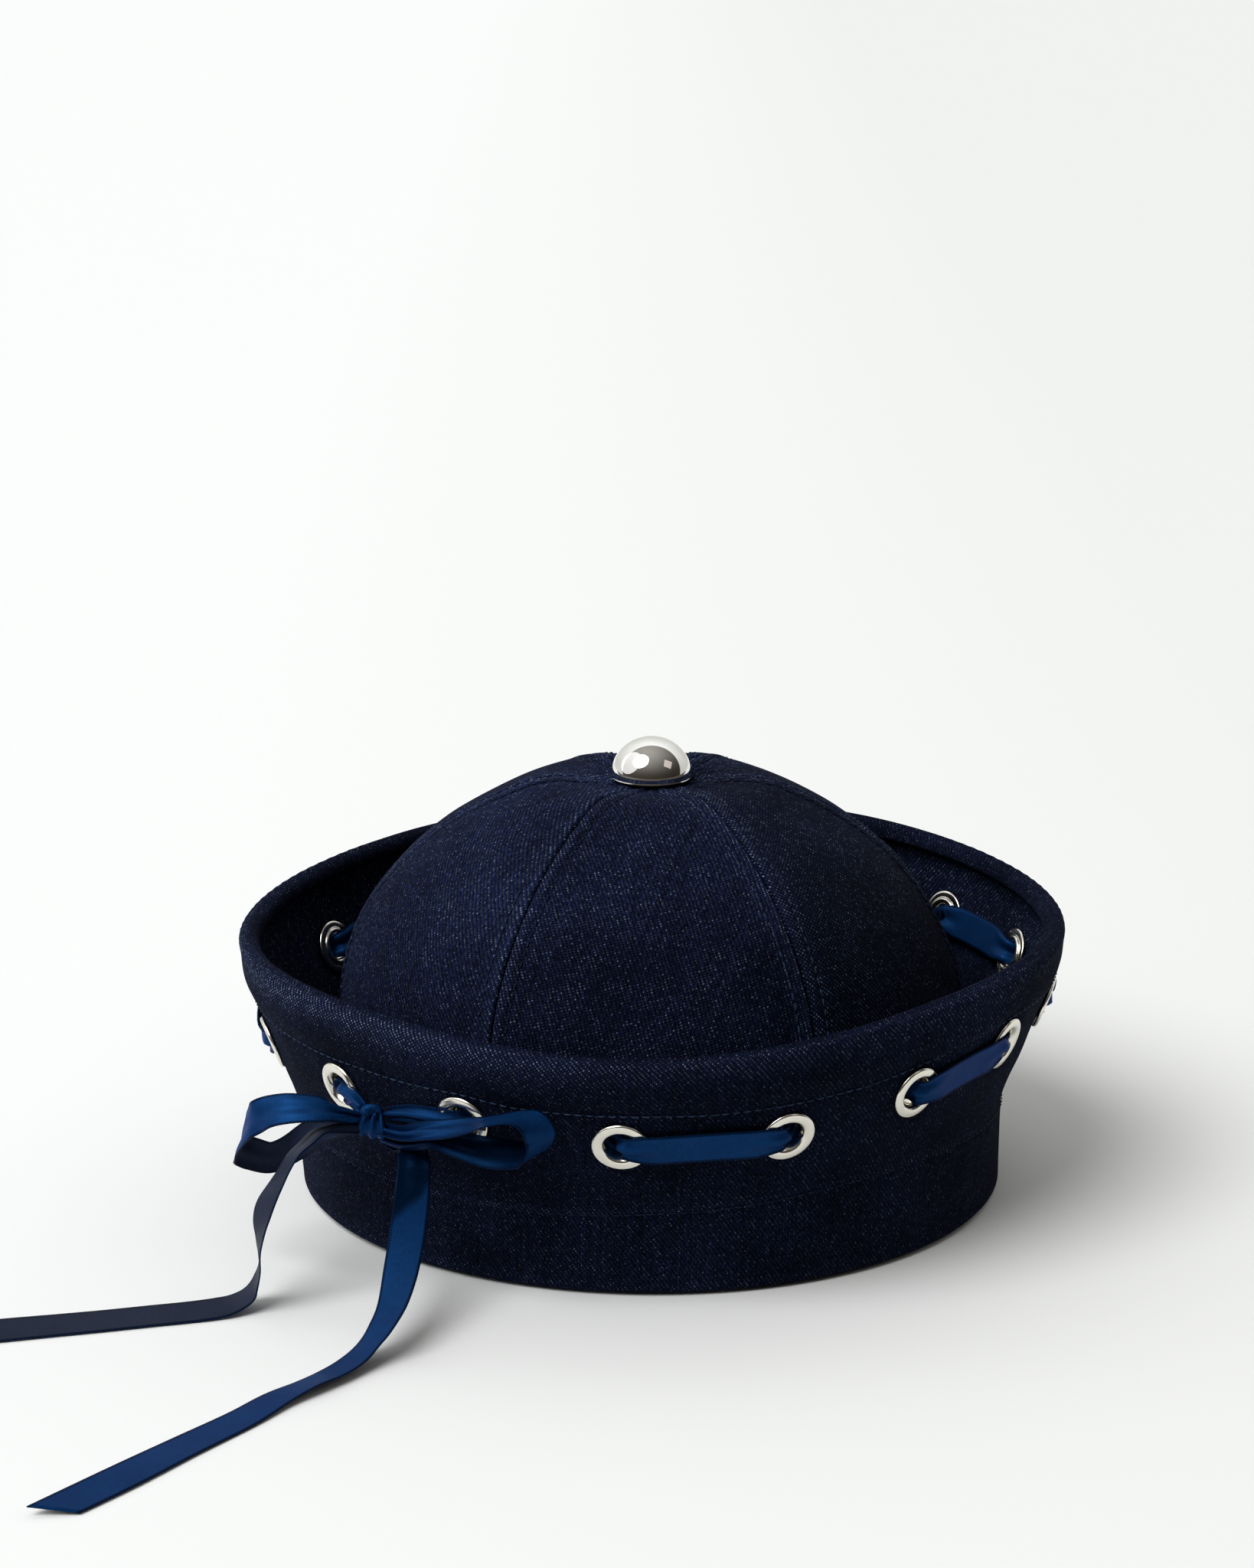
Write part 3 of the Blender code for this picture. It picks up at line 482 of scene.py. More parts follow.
def build_crown(denim):
    line = crown_line()
    length = along(line)[-1]
    run = np.linspace(0, length, CROWN_ROWS)[:, None]
    radius, height = resample(line, run[:, 0]).T[..., None]
    half = np.linspace(0, 1, PANEL_HALF_COLUMNS + 1)
    spaced = half * 0.30 + half ** 2.4 * 0.70
    turn = np.concatenate([-(1 - spaced), (1 - spaced)[::-1][1:]])[None, :]
    half_width = radius * math.pi / PANEL_COUNT
    distance = half_width * (1 - np.abs(turn))
    centre = ease(half_width / (30 * MM)) * ease(distance / (9 * MM))
    for index in range(PANEL_COUNT):
        reach = 180.0 / PANEL_COUNT - np.degrees(PANEL_GAP / radius)
        azimuth = index * 360.0 / PANEL_COUNT + reach * turn
        base = crown_point(azimuth, radius, height)
        relief = np.where(turn < 0, *(panel_relief(distance, run, index * 2 + side, half_width)
                                      for side in (3, 4)))
        x, y, z = np.moveaxis(round_points(radius, azimuth, height) / MM, -1, 0)
        soft = lattice_noise(x / 31 + z / 57, y / 27, 5)
        fine = lattice_noise(x / 12 + 9, y / 13 + z / 9, 6)
        relief = relief + (SOFT_FOLD * soft + FINE_FOLD * fine) * centre
        top_pull = bell(radius - 15 * MM, 9 * MM) * TOP_PULL
        relief = relief + top_pull * np.cos(np.radians(azimuth) * TOP_PULL_COUNT + index)
        outer = base + grid_normals(base, False) * relief[..., None]
        wear = bells(distance / MM, CROWN_WEAR) + SOFT_WEAR * np.clip(soft, 0, 1)
        across = half_width * turn
        lean = math.radians(PANEL_LEAN[index])
        weave = together(across * math.cos(lean) - run * math.sin(lean) + index * 0.37,
                         across * math.sin(lean) + run * math.cos(lean))
        # Painted shade and light: the panel's darkening from the table, with the top painted
        # lighter.
        dim = PANEL_PAINTED_SHADE[index] - TOP_PAINTED_LIGHT * ease((height - TOP_PAINTED_LIGHT_START) / TOP_PAINTED_LIGHT_REACH)
        piece = (f"crown_cloth_{index + 1}", "crown_denim", f"crown_panel_{index + 1}", denim)
        cloth_shell(piece, outer, CROWN_WALL, weave, wear, dim=dim)


# Brim

BRIM_COLUMNS = 520
BRIM_AZIMUTH = (np.arange(BRIM_COLUMNS) * 360.0 / BRIM_COLUMNS + 180.0)[None, :]
BRIM_WEAVE_TURN = (np.arange(BRIM_COLUMNS + 1) / BRIM_COLUMNS)[None, :] * 2 * math.pi
ROLL_START, ROLL_END = -15, 205
RIM_GROOVE_TURN = 68.0
HEM_LIFT = 1.1 * MM
HOLE_RADIUS = 6.0 * MM
# The cloth is flat round an eyelet, with a low ring where its flange presses.
FLAT_RADIUS, FLAT_REACH = 8.6 * MM, 6.0 * MM
DIMPLE_RADIUS, DIMPLE_RISE = 9.0 * MM, 0.35 * MM
UPPER_STITCH_LOWEST = 0.803
UPPER_STITCH_OVER_EYELET = 0.112
LOWER_STITCH_LOWEST = 0.312
LOWER_STITCH_RISE = 0.066
STITCH_WANDER = 0.004
# The next ones are in millimetres, apart from the strength of the wear.
BRIM_SOFT_FOLD, BRIM_FINE_FOLD = 0.55, 0.18
BRIM_PUCKER, HEM_RISE, ROPE_RISE = 0.16, 0.30, 0.12
BASE_WEAR = ((0.35, 14, 2.2),)
RIM_GROOVES = (
    # depth, distance past the rim's groove, width
    (0.75, 0.0, 0.42), (-0.16, 1.3, 0.7), (0.30, 2.5, 0.40),
)


def roll_points(turn):
    middle = RIM_RADIUS - ROLL_RADIUS
    return together(middle + ROLL_RADIUS * np.cos(turn), RIM_HEIGHT + ROLL_RADIUS * np.sin(turn))


def brim_side():
    """Dense smooth (radius, height) line of the brim's outer face above the base bend."""
    flare = RIM_RADIUS - BASE_RADIUS
    rows = [(BASE_RADIUS, BASE_BEND), (BASE_RADIUS, RIM_HEIGHT * 0.18)]
    rows += [(BASE_RADIUS + flare * part, RIM_HEIGHT * share) for share, part in BRIM_FLARE]
    return smooth_rows([*rows, roll_points(math.radians(ROLL_START))], 16)


BRIM_SIDE = brim_side()


def brim_outer_line():
    base_inner = CROWN_RADIUS + CROWN_FOOT_SPREAD - BASE_SEAM
    middle = BASE_RADIUS - BASE_BEND
    turn = np.radians(np.linspace(-90, 0, 12))
    lift = HEM_LIFT * ease(-2 * turn / math.pi)
    bend = together(middle + BASE_BEND * np.cos(turn), BASE_BEND * (1 + np.sin(turn)) + lift)
    start = [[base_inner, 0.0], [base_inner + 4 * MM, 0.0], [middle - 2 * MM, HEM_LIFT * 0.5]]
    roll = roll_points(np.radians(np.linspace(ROLL_START, ROLL_END, 48)))
    return np.concatenate([start, bend, BRIM_SIDE[1:-1], roll])


def wave_points(radius, azimuth, height):
    share = np.maximum(height, 0.0) / RIM_HEIGHT
    outward, upward = 0.0, 0.0
    for count, crest, radius_share, height_share in RIM_WAVES:
        turn = np.cos(np.radians(count * (azimuth - crest)))
        outward = outward + RIM_RADIUS * radius_share * turn
        upward = upward + height_share * turn
    return round_points(radius + outward * share ** 2, azimuth, height * (1 + upward))


def brim_spots(azimuth, share, stand_off=0.0):
    """Points over the brim's outer face, with the face's upward and outward directions."""
    azimuth, height = np.asarray(azimuth), RIM_HEIGHT * np.asarray(share, float)
    step = 0.5 * MM

    def face(turn, level):
        return wave_points(np.interp(level, BRIM_SIDE[:, 1], BRIM_SIDE[:, 0]), turn, level)

    upward = unit(face(azimuth, height + step) - face(azimuth, height - step))
    beside = face(azimuth + 0.5, height) - face(azimuth - 0.5, height)
    outward = unit(np.cross(beside, upward))
    return (face(azimuth, height) + outward * np.asarray(stand_off)[..., None], upward, outward)


EYELET_FRAMES = [brim_spots(azimuth, share) for azimuth, share in EYELETS]


def eyelet_distances(points):
    """Height of the points over each eyelet's plane, and their distance from its axis."""
    for middle, _, outward in EYELET_FRAMES:
        offset = points - middle
        height = offset @ outward
        yield height, np.linalg.norm(offset - height[..., None] * outward, axis=-1), outward


def settle_at_eyelets(points, depth):
    """Pull the cloth flat round each eyelet, at that depth behind its outer plane."""
    moved = np.zeros(points.shape)
    for height, spread, outward in eyelet_distances(points):
        near = (spread < 16 * MM) & (np.abs(height + depth) < 9 * MM)
        pull = (1 - ease((spread - FLAT_RADIUS) / FLAT_REACH)) * near
        dimple = DIMPLE_RISE * bell(spread - DIMPLE_RADIUS, 1.6 * MM) * near
        away = dimple * np.sign(depth * 2 - 1 * MM) - pull * (height + depth)
        moved = moved + away[..., None] * outward
    return points + moved


def holes(points):
    """Mask of the grid's faces that lie inside an eyelet's barrel."""
    middle = (points[:-1] + points[1:]) / 2
    middle = (middle + np.roll(middle, -1, axis=1)) / 2
    cut = np.zeros(middle.shape[:2], bool)
    for height, spread, _ in eyelet_distances(middle):
        cut |= (spread < HOLE_RADIUS) & (np.abs(height) < 8 * MM)
    return cut


def upper_stitch(azimuth):
    """Height share of the stitch row that runs just over the eyelets."""
    turns, shares = zip(*EYELETS)
    over = np.interp(azimuth, turns, shares, period=360.0)
    return np.maximum(UPPER_STITCH_LOWEST, over + UPPER_STITCH_OVER_EYELET)


def lower_stitch(azimuth):
    """Height share of the stitch row that holds the hem, highest at the front right."""
    return LOWER_STITCH_LOWEST + LOWER_STITCH_RISE * bell(wrapped(azimuth - 40.0), 45.0)


def stitch_wander(azimuth):
    return lattice_noise(azimuth / 360.0 * 40, 0.0, 14, wrap=40) * STITCH_WANDER


def build_brim(denim):
    """The brim's outer cloth; run, gap, past_groove and relief are in millimetres here."""
    line = brim_outer_line()
    length = along(line)[-1]
    places = np.concatenate([np.linspace(0, 10 * MM, 6)[:-1],
                             np.linspace(10 * MM, length, 82)])
    azimuth, turns, run = BRIM_AZIMUTH, BRIM_AZIMUTH / 360.0, places[:, None] / MM
    radius, height = resample(line, places).T[..., None]
    base = settle_at_eyelets(wave_points(radius, azimuth, height), 0.0)
    share = height / RIM_HEIGHT
    on_side = ease((share - 0.02) / 0.1)
    on_roll = ease((run - length / MM + 13) / 4)
    soft = lattice_noise(turns * 22, share * 3.3, 11, wrap=22)
    fine = lattice_noise(turns * 60, share * 7.0, 12, wrap=60)
    relief = (BRIM_SOFT_FOLD * soft + BRIM_FINE_FOLD * fine) * on_side * (1 - on_roll * 0.8)

    low_row = lower_stitch(azimuth)
    for row_share, depth, seed in ((upper_stitch(azimuth), 0.34, 15), (low_row, 0.30, 16)):
        gap = (share - row_share - stitch_wander(azimuth)) * RIM_HEIGHT / MM
        pull = lattice_noise(turns * 190, 0.0, seed, wrap=190)
        relief = relief - depth * bell(gap, 0.8) + BRIM_PUCKER * pull * bell(gap, 3.6)
    relief = relief + HEM_RISE * ease((low_row - share) / 0.035) * on_side

    ropes = np.sin(np.radians(azimuth) * 150 + run / 1.9)
    past_groove = run - (length - ROLL_RADIUS * math.radians(ROLL_END - RIM_GROOVE_TURN)) / MM
    relief = relief + ROPE_RISE * ropes * on_roll * ease(-past_groove / 1.5)
    relief = relief - bells(past_groove, RIM_GROOVES)
    outer = base + grid_normals(base, True) * relief[..., None] * MM
    outer[..., 2] = np.maximum(outer[..., 2], 0.0)

    # Painted light: the rim's roll is lighter on the left, where the light falls, on top of its
    # real wear.
    painted_light_left = bell(wrapped(azimuth + 60.0), 70.0)
    front_side = bell(wrapped(azimuth), 75.0)
    wear = ((0.46 + 1.20 * painted_light_left) * bell(past_groove + 3.4, 5.0)
            + 0.5 * bell((share - low_row - 0.01) * RIM_HEIGHT / MM, 1.2)
            + bells(run, BASE_WEAR) + SOFT_WEAR * np.clip(soft, 0, 1) * on_side)
    plain = 0.75 * front_side * ease((past_groove - 0.3) / 0.5) * ease((3.0 - past_groove) / 0.6)
    weave = together(BRIM_WEAVE_TURN * 111, run) * MM
    cloth_shell(("brim_cloth", "brim_denim", "brim_outer", denim), outer, BRIM_WALL, weave, wear,
                True, holes(base), plain=plain)


def build_facing(denim):
    """The brim's inner cloth; run, top and relief are in millimetres here."""
    back = BRIM_SIDE[BRIM_SIDE[:, 1] > 3.4 * MM]
    slope = unit(np.gradient(back, axis=0))
    face = back + together(-slope[:, 1], slope[:, 0]) * (BRIM_WALL + FIT_GAP)
    face = face[face[:, 1] < RIM_HEIGHT - 3.1 * MM]
    places = np.linspace(0, along(face)[-1], 62)
    run, top = places[:, None] / MM, (places[-1] - places[:, None]) / MM
    radius, height = resample(face, places).T[..., None]
    rear = settle_at_eyelets(wave_points(radius, BRIM_AZIMUTH, height), BRIM_WALL + FIT_GAP)
    front = rear - grid_normals(rear, True) * BRIM_WALL
    soft = lattice_noise(BRIM_AZIMUTH / 360.0 * 20, height / RIM_HEIGHT * 3.0, 21, wrap=20)
    relief = 0.35 * soft * ease(top / 9) * ease(run / 9) + 0.25 * bell(top - 3.0, 0.8)
    front = front + grid_normals(front, True) * relief[..., None] * MM
    weave = together(BRIM_WEAVE_TURN[:, ::-1] * 108, run) * MM
    wear = 0.25 + 0.4 * bell(top - 1.0, 1.5)
    cut = np.roll(holes(front)[:, ::-1], -1, axis=1)
    cloth_shell(("brim_lining", "facing_denim", "brim_facing", denim), front[:, ::-1], BRIM_WALL,
                weave, wear, True, cut)


# Turned metal pieces

EYELET_SIDES = 64
STUD_SIDES = 96
STUD_POST_RADIUS = 1.5 * MM
STUD_FOOT = (
    # millimetres out from the dome's edge, millimetres above the seat
    (0.01, 0.6), (0.03, 0.44), (0.05, 0.3025), (0.12, 0.165), (0.12, 0.0825), (-0.1, 0),
)


def turned(line, sides, middle, upward, outward, closed_line):
    """Points and faces of a (radius, depth) line turned round the outward axis."""
    angle = (np.arange(sides) * 2 * math.pi / sides)[:, None]
    spokes = np.cos(angle) * upward + np.sin(angle) * np.cross(upward, outward)
    radius, depth = np.asarray(line).T[..., None, None]
    points = middle + spokes * radius + outward * depth
    return points.reshape(-1, 3), grid_quads(len(line), sides, True, closed_line)


def build_eyelets(nickel):
    bore, flange, gap = EYELET_BORE_RADIUS / MM, EYELET_FLANGE_RADIUS / MM, FIT_GAP / MM
    front, back = gap + EYELET_RISE / MM, -EYELET_BACK / MM
    knots = [
        # radius, depth, in millimetres
        (flange, gap * 0.3), (flange + 0.02, front * 0.42), (flange - 0.25, front * 0.78),
        (flange - 0.8, front * 0.92), (bore + 2.0, front), (bore + 1.35, front * 0.97),
        (bore + 0.75, front * 0.72), (bore + 0.28, front * 0.15), (bore, -0.9), (bore, -2.0),
        (bore - 0.02, back + 0.9), (bore - 0.36, back + 0.35), (bore - 0.42, back - 0.25),
        (bore - 0.10, back - 0.80), (bore + 0.45, back - 1.0), (bore + 1.0, back - 1.05),
        (bore + 1.45, back - 0.7), (bore + 1.6, back - 0.42), (flange - 0.9, back - 0.50),
        (flange - 0.25, back - 0.40), (flange, back - 0.12), (flange - 0.2, back + 0.02),
        (bore + 1.2, back + 0.02), (bore + 0.62, back + 0.3), (bore + 0.62, 0.0),
        (bore + 1.2, gap * 0.4), (flange - 0.6, gap * 0.3),
    ]
    line = smooth_rows(np.array(knots + knots[:3]) * MM, 3)[3:-6]
    for number, eyelet_frame in enumerate(EYELET_FRAMES, 1):
        points, quads = turned(line, EYELET_SIDES, *eyelet_frame, True)
        add_piece((f"eyelet_ring_{number:02d}", "eyelet_nickel", f"eyelet_{number:02d}", nickel),
                  points, quads.tolist())


def build_stud(chrome):
    seat = CROWN_HEIGHT - seat_dip(STUD_LIP_RADIUS) + FIT_GAP
    dome, start = STUD_LIP_RADIUS - 0.35 * MM, seat + 0.8 * MM
    rise = seat + STUD_HEIGHT - start
    washer = CROWN_HEIGHT - SEAT_DEPTH - 2.0 * MM
    angle = math.pi / 2 * (1 - np.arange(1, 33) / 32)
    bottom = washer - 0.8 * MM
    line = np.concatenate([
        together(dome * np.cos(angle), start + rise * np.sin(angle)),
        [(dome + out * MM, seat + up * MM) for out, up in STUD_FOOT],
        [(STUD_POST_RADIUS, seat), (STUD_POST_RADIUS, washer), (4.0 * MM, washer),
         (4.0 * MM, bottom)]])
    points, quads = turned(line, STUD_SIDES, np.zeros(3), np.array([0.0, -1.0, 0.0]),
                           np.array([0.0, 0.0, 1.0]), False)
    top, last_ring = len(points), len(points) - STUD_SIDES
    points = np.concatenate([points, [[0, 0, start + rise], [0, 0, bottom]]])
    faces = quads[:, ::-1].tolist()
    for side in range(STUD_SIDES):
        after = (side + 1) % STUD_SIDES
        faces += [(top, side, after), (top + 1, last_ring + after, last_ring + side)]
    item = add_piece(("crown_stud_dome", "stud_chrome", "crown_stud", chrome), points, faces)
    item.data.set_sharp_from_angle(angle=math.radians(60))


# Ribbon

KNOT = brim_spots(KNOT_AZIMUTH, KNOT_SHARE, KNOT_STAND_OFF)[0]
KNOT_ROWS, KNOT_COLUMNS = 80, 160
KNOT_HALF_WIDE, KNOT_HALF_DEEP, KNOT_HALF_HIGH = 3.6 * MM, 3.0 * MM, 3.4 * MM
KNOT_PLEAT, KNOT_CREASE, KNOT_HEM = 1.15 * MM, 0.10 * MM, 0.35 * MM
LOOP_INSIDE_SHADE = 0.62
# The bow keeps the light off the right tail's top, above a slanting line.
SHADE_END = 26.0 * MM
SHADE_SLANT = 7.0 * MM
SHADE_EDGE = 5.0 * MM
SHADE_DEPTH = 0.76
TAIL_COLUMNS = 17
# A gathered ribbon's folds flatten from that width share on, over that reach.
RELAX_FROM, RELAX_REACH = 0.45, 0.35


def bow_rows(table, on_floor=False):
    """Rows of middle, across and width; on_floor says that a height is a share of the knot's."""
    rows = []
    for right, back, up, width_share, *across in table:
        height = KNOT[2] * up if on_floor else KNOT[2] + up * MM
        rows.append([KNOT[0] + right * MM, KNOT[1] + back * MM, height, *unit(across),
                     RIBBON_WIDTH * width_share])
    return rows


def lace_row(azimuth, share, stand_off, width_share):
    spot, upward, _ = brim_spots(azimuth, share, stand_off)
    return [*spot, *upward, RIBBON_WIDTH * width_share]


def span_row(index, part, stand_off, width_share):
    azimuth, share = EYELETS[index]
    next_azimuth, next_share = EYELETS[index + 1]
    return lace_row(azimuth + (next_azimuth - azimuth) * part,
                    share + (next_share - share) * part, stand_off, width_share)


def lacing_rows():
    """In and out through every eyelet, from the knot's right side round to its left."""
    outside = FIT_GAP * 2 + EYELET_RISE + LACE_CLEARANCE
    inside = -(EYELET_BACK + EYELET_RISE + FIT_GAP + LACE_CLEARANCE)
    bore_turn = math.degrees(EYELET_BORE_RADIUS / RIM_RADIUS)
    # share of the bore, share of the way out of it
    bends = ((0.0, 0.30), (0.22, 0.72), (0.62, 0.98))
    rows = list(reversed(bow_rows(LACE_END_RIGHT)))
    spread = math.degrees(LACE_SPREAD / RIM_RADIUS)
    near, far = outside, inside
    for index, (azimuth, share) in enumerate(EYELETS):
        if index > 0:
            part = 1 - spread / (azimuth - EYELETS[index - 1][0])
            rows.append(span_row(index - 1, part, near, 0.98))
        for hand, level, order in ((-1, near, bends[::-1]), (1, far, bends)):
            rows += [lace_row(azimuth + hand * bore_turn * bore_share, share, level * way,
                              0.70 + 0.14 * bore_share) for bore_share, way in order]
        if index < len(EYELETS) - 1:
            halfway = far - math.copysign(0.6 * MM, far)
            part = spread / (EYELETS[index + 1][0] - azimuth)
            rows.append(span_row(index, part, far, 0.98))
            rows += [span_row(index, part, halfway, 1.0) for part in (0.38, 0.62)]
        near, far = far, near
    return rows + list(reversed(bow_rows(LACE_END_LEFT)))


def band(piece, rows, steps, folds, columns, slant=0.0, relax=0.0):
    """Thin ribbon through rows of middle, across and width; narrow parts gather in folds."""
    dense = smooth_rows(rows, steps)
    middle, across, width = dense[:, :3], unit(dense[:, 3:6]), dense[:, 6]
    run = unit(np.gradient(middle, axis=0))
    across = unit(across - run * np.sum(across * run, axis=1, keepdims=True))
    normal = np.cross(run, across)
    share = np.clip(width / RIBBON_WIDTH, 0.05, 1.0)
    depth = RIBBON_WIDTH * np.sqrt(1 - share ** 2) / folds * 0.5
    depth = depth * (1 - relax * ease((share - RELAX_FROM) / RELAX_REACH))
    side = np.linspace(-1, 1, columns)
    distance = along(middle)
    wander = lattice_noise(distance / (9 * MM), 3.0, len(rows))
    height = depth[:, None] * np.cos(side * math.pi * folds / 2) * 0.9
    height = height + 0.10 * MM * (1 - side ** 2) * wander[:, None]
    surface = (middle[:, None] + across[:, None] * (width[:, None] / 2 * side)[..., None]
               + normal[:, None] * height[..., None])
    if slant:
        reach = ease((np.arange(len(dense)) - (len(dense) - 1 - steps)) / steps)
        surface = surface - run[:, None] * (reach[:, None] * side * slant)[..., None]
    away = unit(np.cross(np.gradient(surface, axis=0), np.gradient(surface, axis=1)))
    away = away * (RIBBON_CLOTH / 2 * np.where(np.abs(side) > 0.9, 1.15, 1.0))[:, None]
    front, rear = surface + away, surface - away
    for points in (front, rear):
        points[..., 2] = np.maximum(points[..., 2], 0.05 * MM)
    quads = grid_quads(len(dense), columns, False, turned_over=True)
    weave = together(side * RIBBON_WIDTH / 2, distance[:, None])
    item = add_sheet(piece, front, rear, quads, weave.reshape(-1, 2)[quads])
    material_index = np.zeros(len(item.data.polygons), np.int32)
    material_index[len(quads):2 * len(quads)] = 1
    item.data.polygons.foreach_set("material_index", material_index)
    return item, middle, distance


def build_knot(satin):
    """Knot of the bow: the ribbon wrapped over once, with pleats that meet at its top."""
    facing = round_points(1.0, KNOT_FACING, 0.0)
    beside = round_points(1.0, KNOT_FACING + 90.0, 0.0)
    upward = unit(np.array([0.0, 0.0, 1.0]) - 0.25 * beside)
    beside = unit(beside + 0.25 * upward)
    polar = np.linspace(0.02, math.pi - 0.02, KNOT_ROWS)[:, None]
    turn = (np.arange(KNOT_COLUMNS) * 2 * math.pi / KNOT_COLUMNS)[None, :]
    rise = np.cos(polar)
    waist = np.sin(polar) ** 0.62 * (1.0 - 0.24 * rise)
    # Sharp valleys between rounded folds, drawn together at the top and uneven round the knot
    place = turn + 0.22 * np.sin(turn * 2 + 0.6) + 0.16 * np.sin(turn * 3 + 2.0) + 0.35 * rise
    fold = np.abs(np.sin(place * 4.5 + 0.4)) ** 0.55
    tight = 0.35 + 0.65 * ease((rise + 0.75) / 1.2)
    relief = ((fold - 0.75) * KNOT_PLEAT * tight + KNOT_CREASE * np.sin(place * 17 + 2.5 * rise)
              + KNOT_HEM * bell(rise + 0.80, 0.10))
    wide = (KNOT_HALF_WIDE + relief) * waist * np.sin(turn)
    deep = (KNOT_HALF_DEEP + relief) * waist * np.cos(turn)
    points = (KNOT + wide[..., None] * beside + deep[..., None] * facing
              + (KNOT_HALF_HIGH * rise)[..., None] * upward)
    quads = grid_quads(KNOT_ROWS, KNOT_COLUMNS, True, turned_over=True).tolist()
    weave = together(np.arange(KNOT_COLUMNS + 1) / KNOT_COLUMNS * 8.8 - 4.4,
                     (np.arange(KNOT_ROWS) / KNOT_ROWS * 29)[:, None]) * MM
    uvs = corner_values(weave)[:, [0, 3, 2, 1]].reshape(-1, 2)
    ring = list(range(KNOT_COLUMNS))
    ends = [ring, [(KNOT_ROWS - 1) * KNOT_COLUMNS + column for column in reversed(ring)]]
    add_piece(("bow_knot", "ribbon_satin", "ribbon_knot", satin), points, quads + ends,
              np.concatenate([uvs, np.zeros((2 * KNOT_COLUMNS, 2))]))
    for name, table, steps, folds, columns in (("bow_knot_wrap", KNOT_WRAP, 10, 5, 41),
                                               ("bow_knot_curl", KNOT_CURL, 8, 3, 9)):
        band((name, "ribbon_satin", None, satin, satin), bow_rows(table), steps, folds, columns)


def build_ribbon(satin, reverse):
    band(("lacing_ribbon", "ribbon_satin", "ribbon_lacing", satin, satin), lacing_rows(), 3, 3, 9)
    build_knot(satin)
    for side, table, front, shade in (("left", LOOP_LEFT, reverse, 0.0),
                                      ("right", LOOP_RIGHT, satin, LOOP_INSIDE_SHADE)):
        piece = (f"bow_loop_{side}", "ribbon_satin", f"ribbon_loop_{side}", front, satin)
        item, _, _ = band(piece, bow_rows(table), 8, 4, 21, relax=0.6)
        if shade:
            half = len(item.data.vertices) // 2
            add_values(item, "shade", np.zeros(half), np.full(half, shade))
    for side, table, slant in (("right", TAIL_RIGHT, TAIL_CUT_SLANT),
                               ("left", TAIL_LEFT, -TAIL_CUT_SLANT)):
        piece = (f"bow_tail_{side}", "ribbon_satin", f"ribbon_tail_{side}", satin, reverse)
        item, middle, distance = band(piece, bow_rows(table, True), 8, 4, TAIL_COLUMNS, slant, 0.8)
        if side == "right":
            line = SHADE_END - SHADE_SLANT * np.linspace(-1, 1, TAIL_COLUMNS)[None, :]
            add_values(item, "shade",
                       SHADE_DEPTH * (1 - ease((distance[:, None] - line) / SHADE_EDGE)))


# Stitching

STITCH_PITCH, STITCH_LENGTH = 3.1 * MM, 2.3 * MM
STITCH_SIDES, STITCH_RINGS = 6, 6


def stitches(name, slot, material, thick, paths):
    """Sewn stitches along paths of (points, outward normals), each a short rounded thread."""
    arch = np.sin(np.linspace(0.0, math.pi, STITCH_RINGS))
    size = thick * (0.35 + 0.65 * arch ** 0.5)
    angle = (2 * math.pi * np.arange(STITCH_SIDES) / STITCH_SIDES)[:, None]
    threads = []
    for line, normals in paths:
        count = int(along(line)[-1] / STITCH_PITCH)
        starts = np.arange(count)[:, None] * STITCH_PITCH + (STITCH_PITCH - STITCH_LENGTH) / 2
        places = starts + STITCH_LENGTH * np.linspace(0, 1, STITCH_RINGS)
        centre, normal = resample(line, places), unit(resample(line, places, normals))
        beside = np.cross(unit(np.gradient(centre, axis=1)), normal)
        centre = centre + normal * (thick * (arch - 0.25))[:, None]
        spokes = np.cos(angle) * normal[:, :, None] + np.sin(angle) * beside[:, :, None]
        threads.append(centre[:, :, None] + size[:, None, None] * spokes)
    points = np.concatenate(threads).reshape(-1, 3)
    quads = grid_quads(STITCH_RINGS, STITCH_SIDES, True, turned_over=True)
    stitch_size = STITCH_RINGS * STITCH_SIDES
    ends = np.array([np.arange(STITCH_SIDES), stitch_size - 1 - np.arange(STITCH_SIDES)])
    faces = []
    for first in range(0, len(points), stitch_size):
        faces += (quads + first).tolist() + (ends + first).tolist()
    add_piece((name, slot, None, material), points, faces)


def crown_stitch_paths():
    line = crown_line()
    radius, height = resample(line, np.linspace(2 * MM, along(line)[-1] - 10 * MM, 400)).T
    kept = radius > 9.0 * MM
    paths = []
    for seam in range(PANEL_COUNT):
        for hand in (-1, 1):
            azimuth = 30.0 + 60.0 * seam + np.degrees(STITCH_OFFSET / radius) * hand
            points = crown_point(azimuth, radius, height)
            beside = (crown_point(azimuth + 0.5, radius, height)
                      - crown_point(azimuth - 0.5, radius, height))
            normals = unit(np.cross(beside, np.gradient(points, axis=0)))
            points = points - normals * 0.05 * MM
            paths.append((points[kept], normals[kept]))
    return paths


def brim_stitch_path(row, stand_off):
    azimuth = np.linspace(180.0, 540.0, 900)
    points, _, outward = brim_spots(azimuth, row(azimuth) + stitch_wander(azimuth), stand_off)
    return points, outward


# Materials

class Value:
    """A shader node's output that sums and products can be written with."""

    def __init__(self, graph, socket):
        self.graph, self.socket = graph, socket

    def __rsub__(self, other):
        return self.graph.math("SUBTRACT", other, self)


for method, operation in (("add", "ADD"), ("sub", "SUBTRACT"), ("mul", "MULTIPLY"),
                          ("truediv", "DIVIDE"), ("mod", "FLOORED_MODULO"), ("pow", "POWER")):
    setattr(Value, f"__{method}__", lambda first, second, operation=operation:
            first.graph.math(operation, first, second))


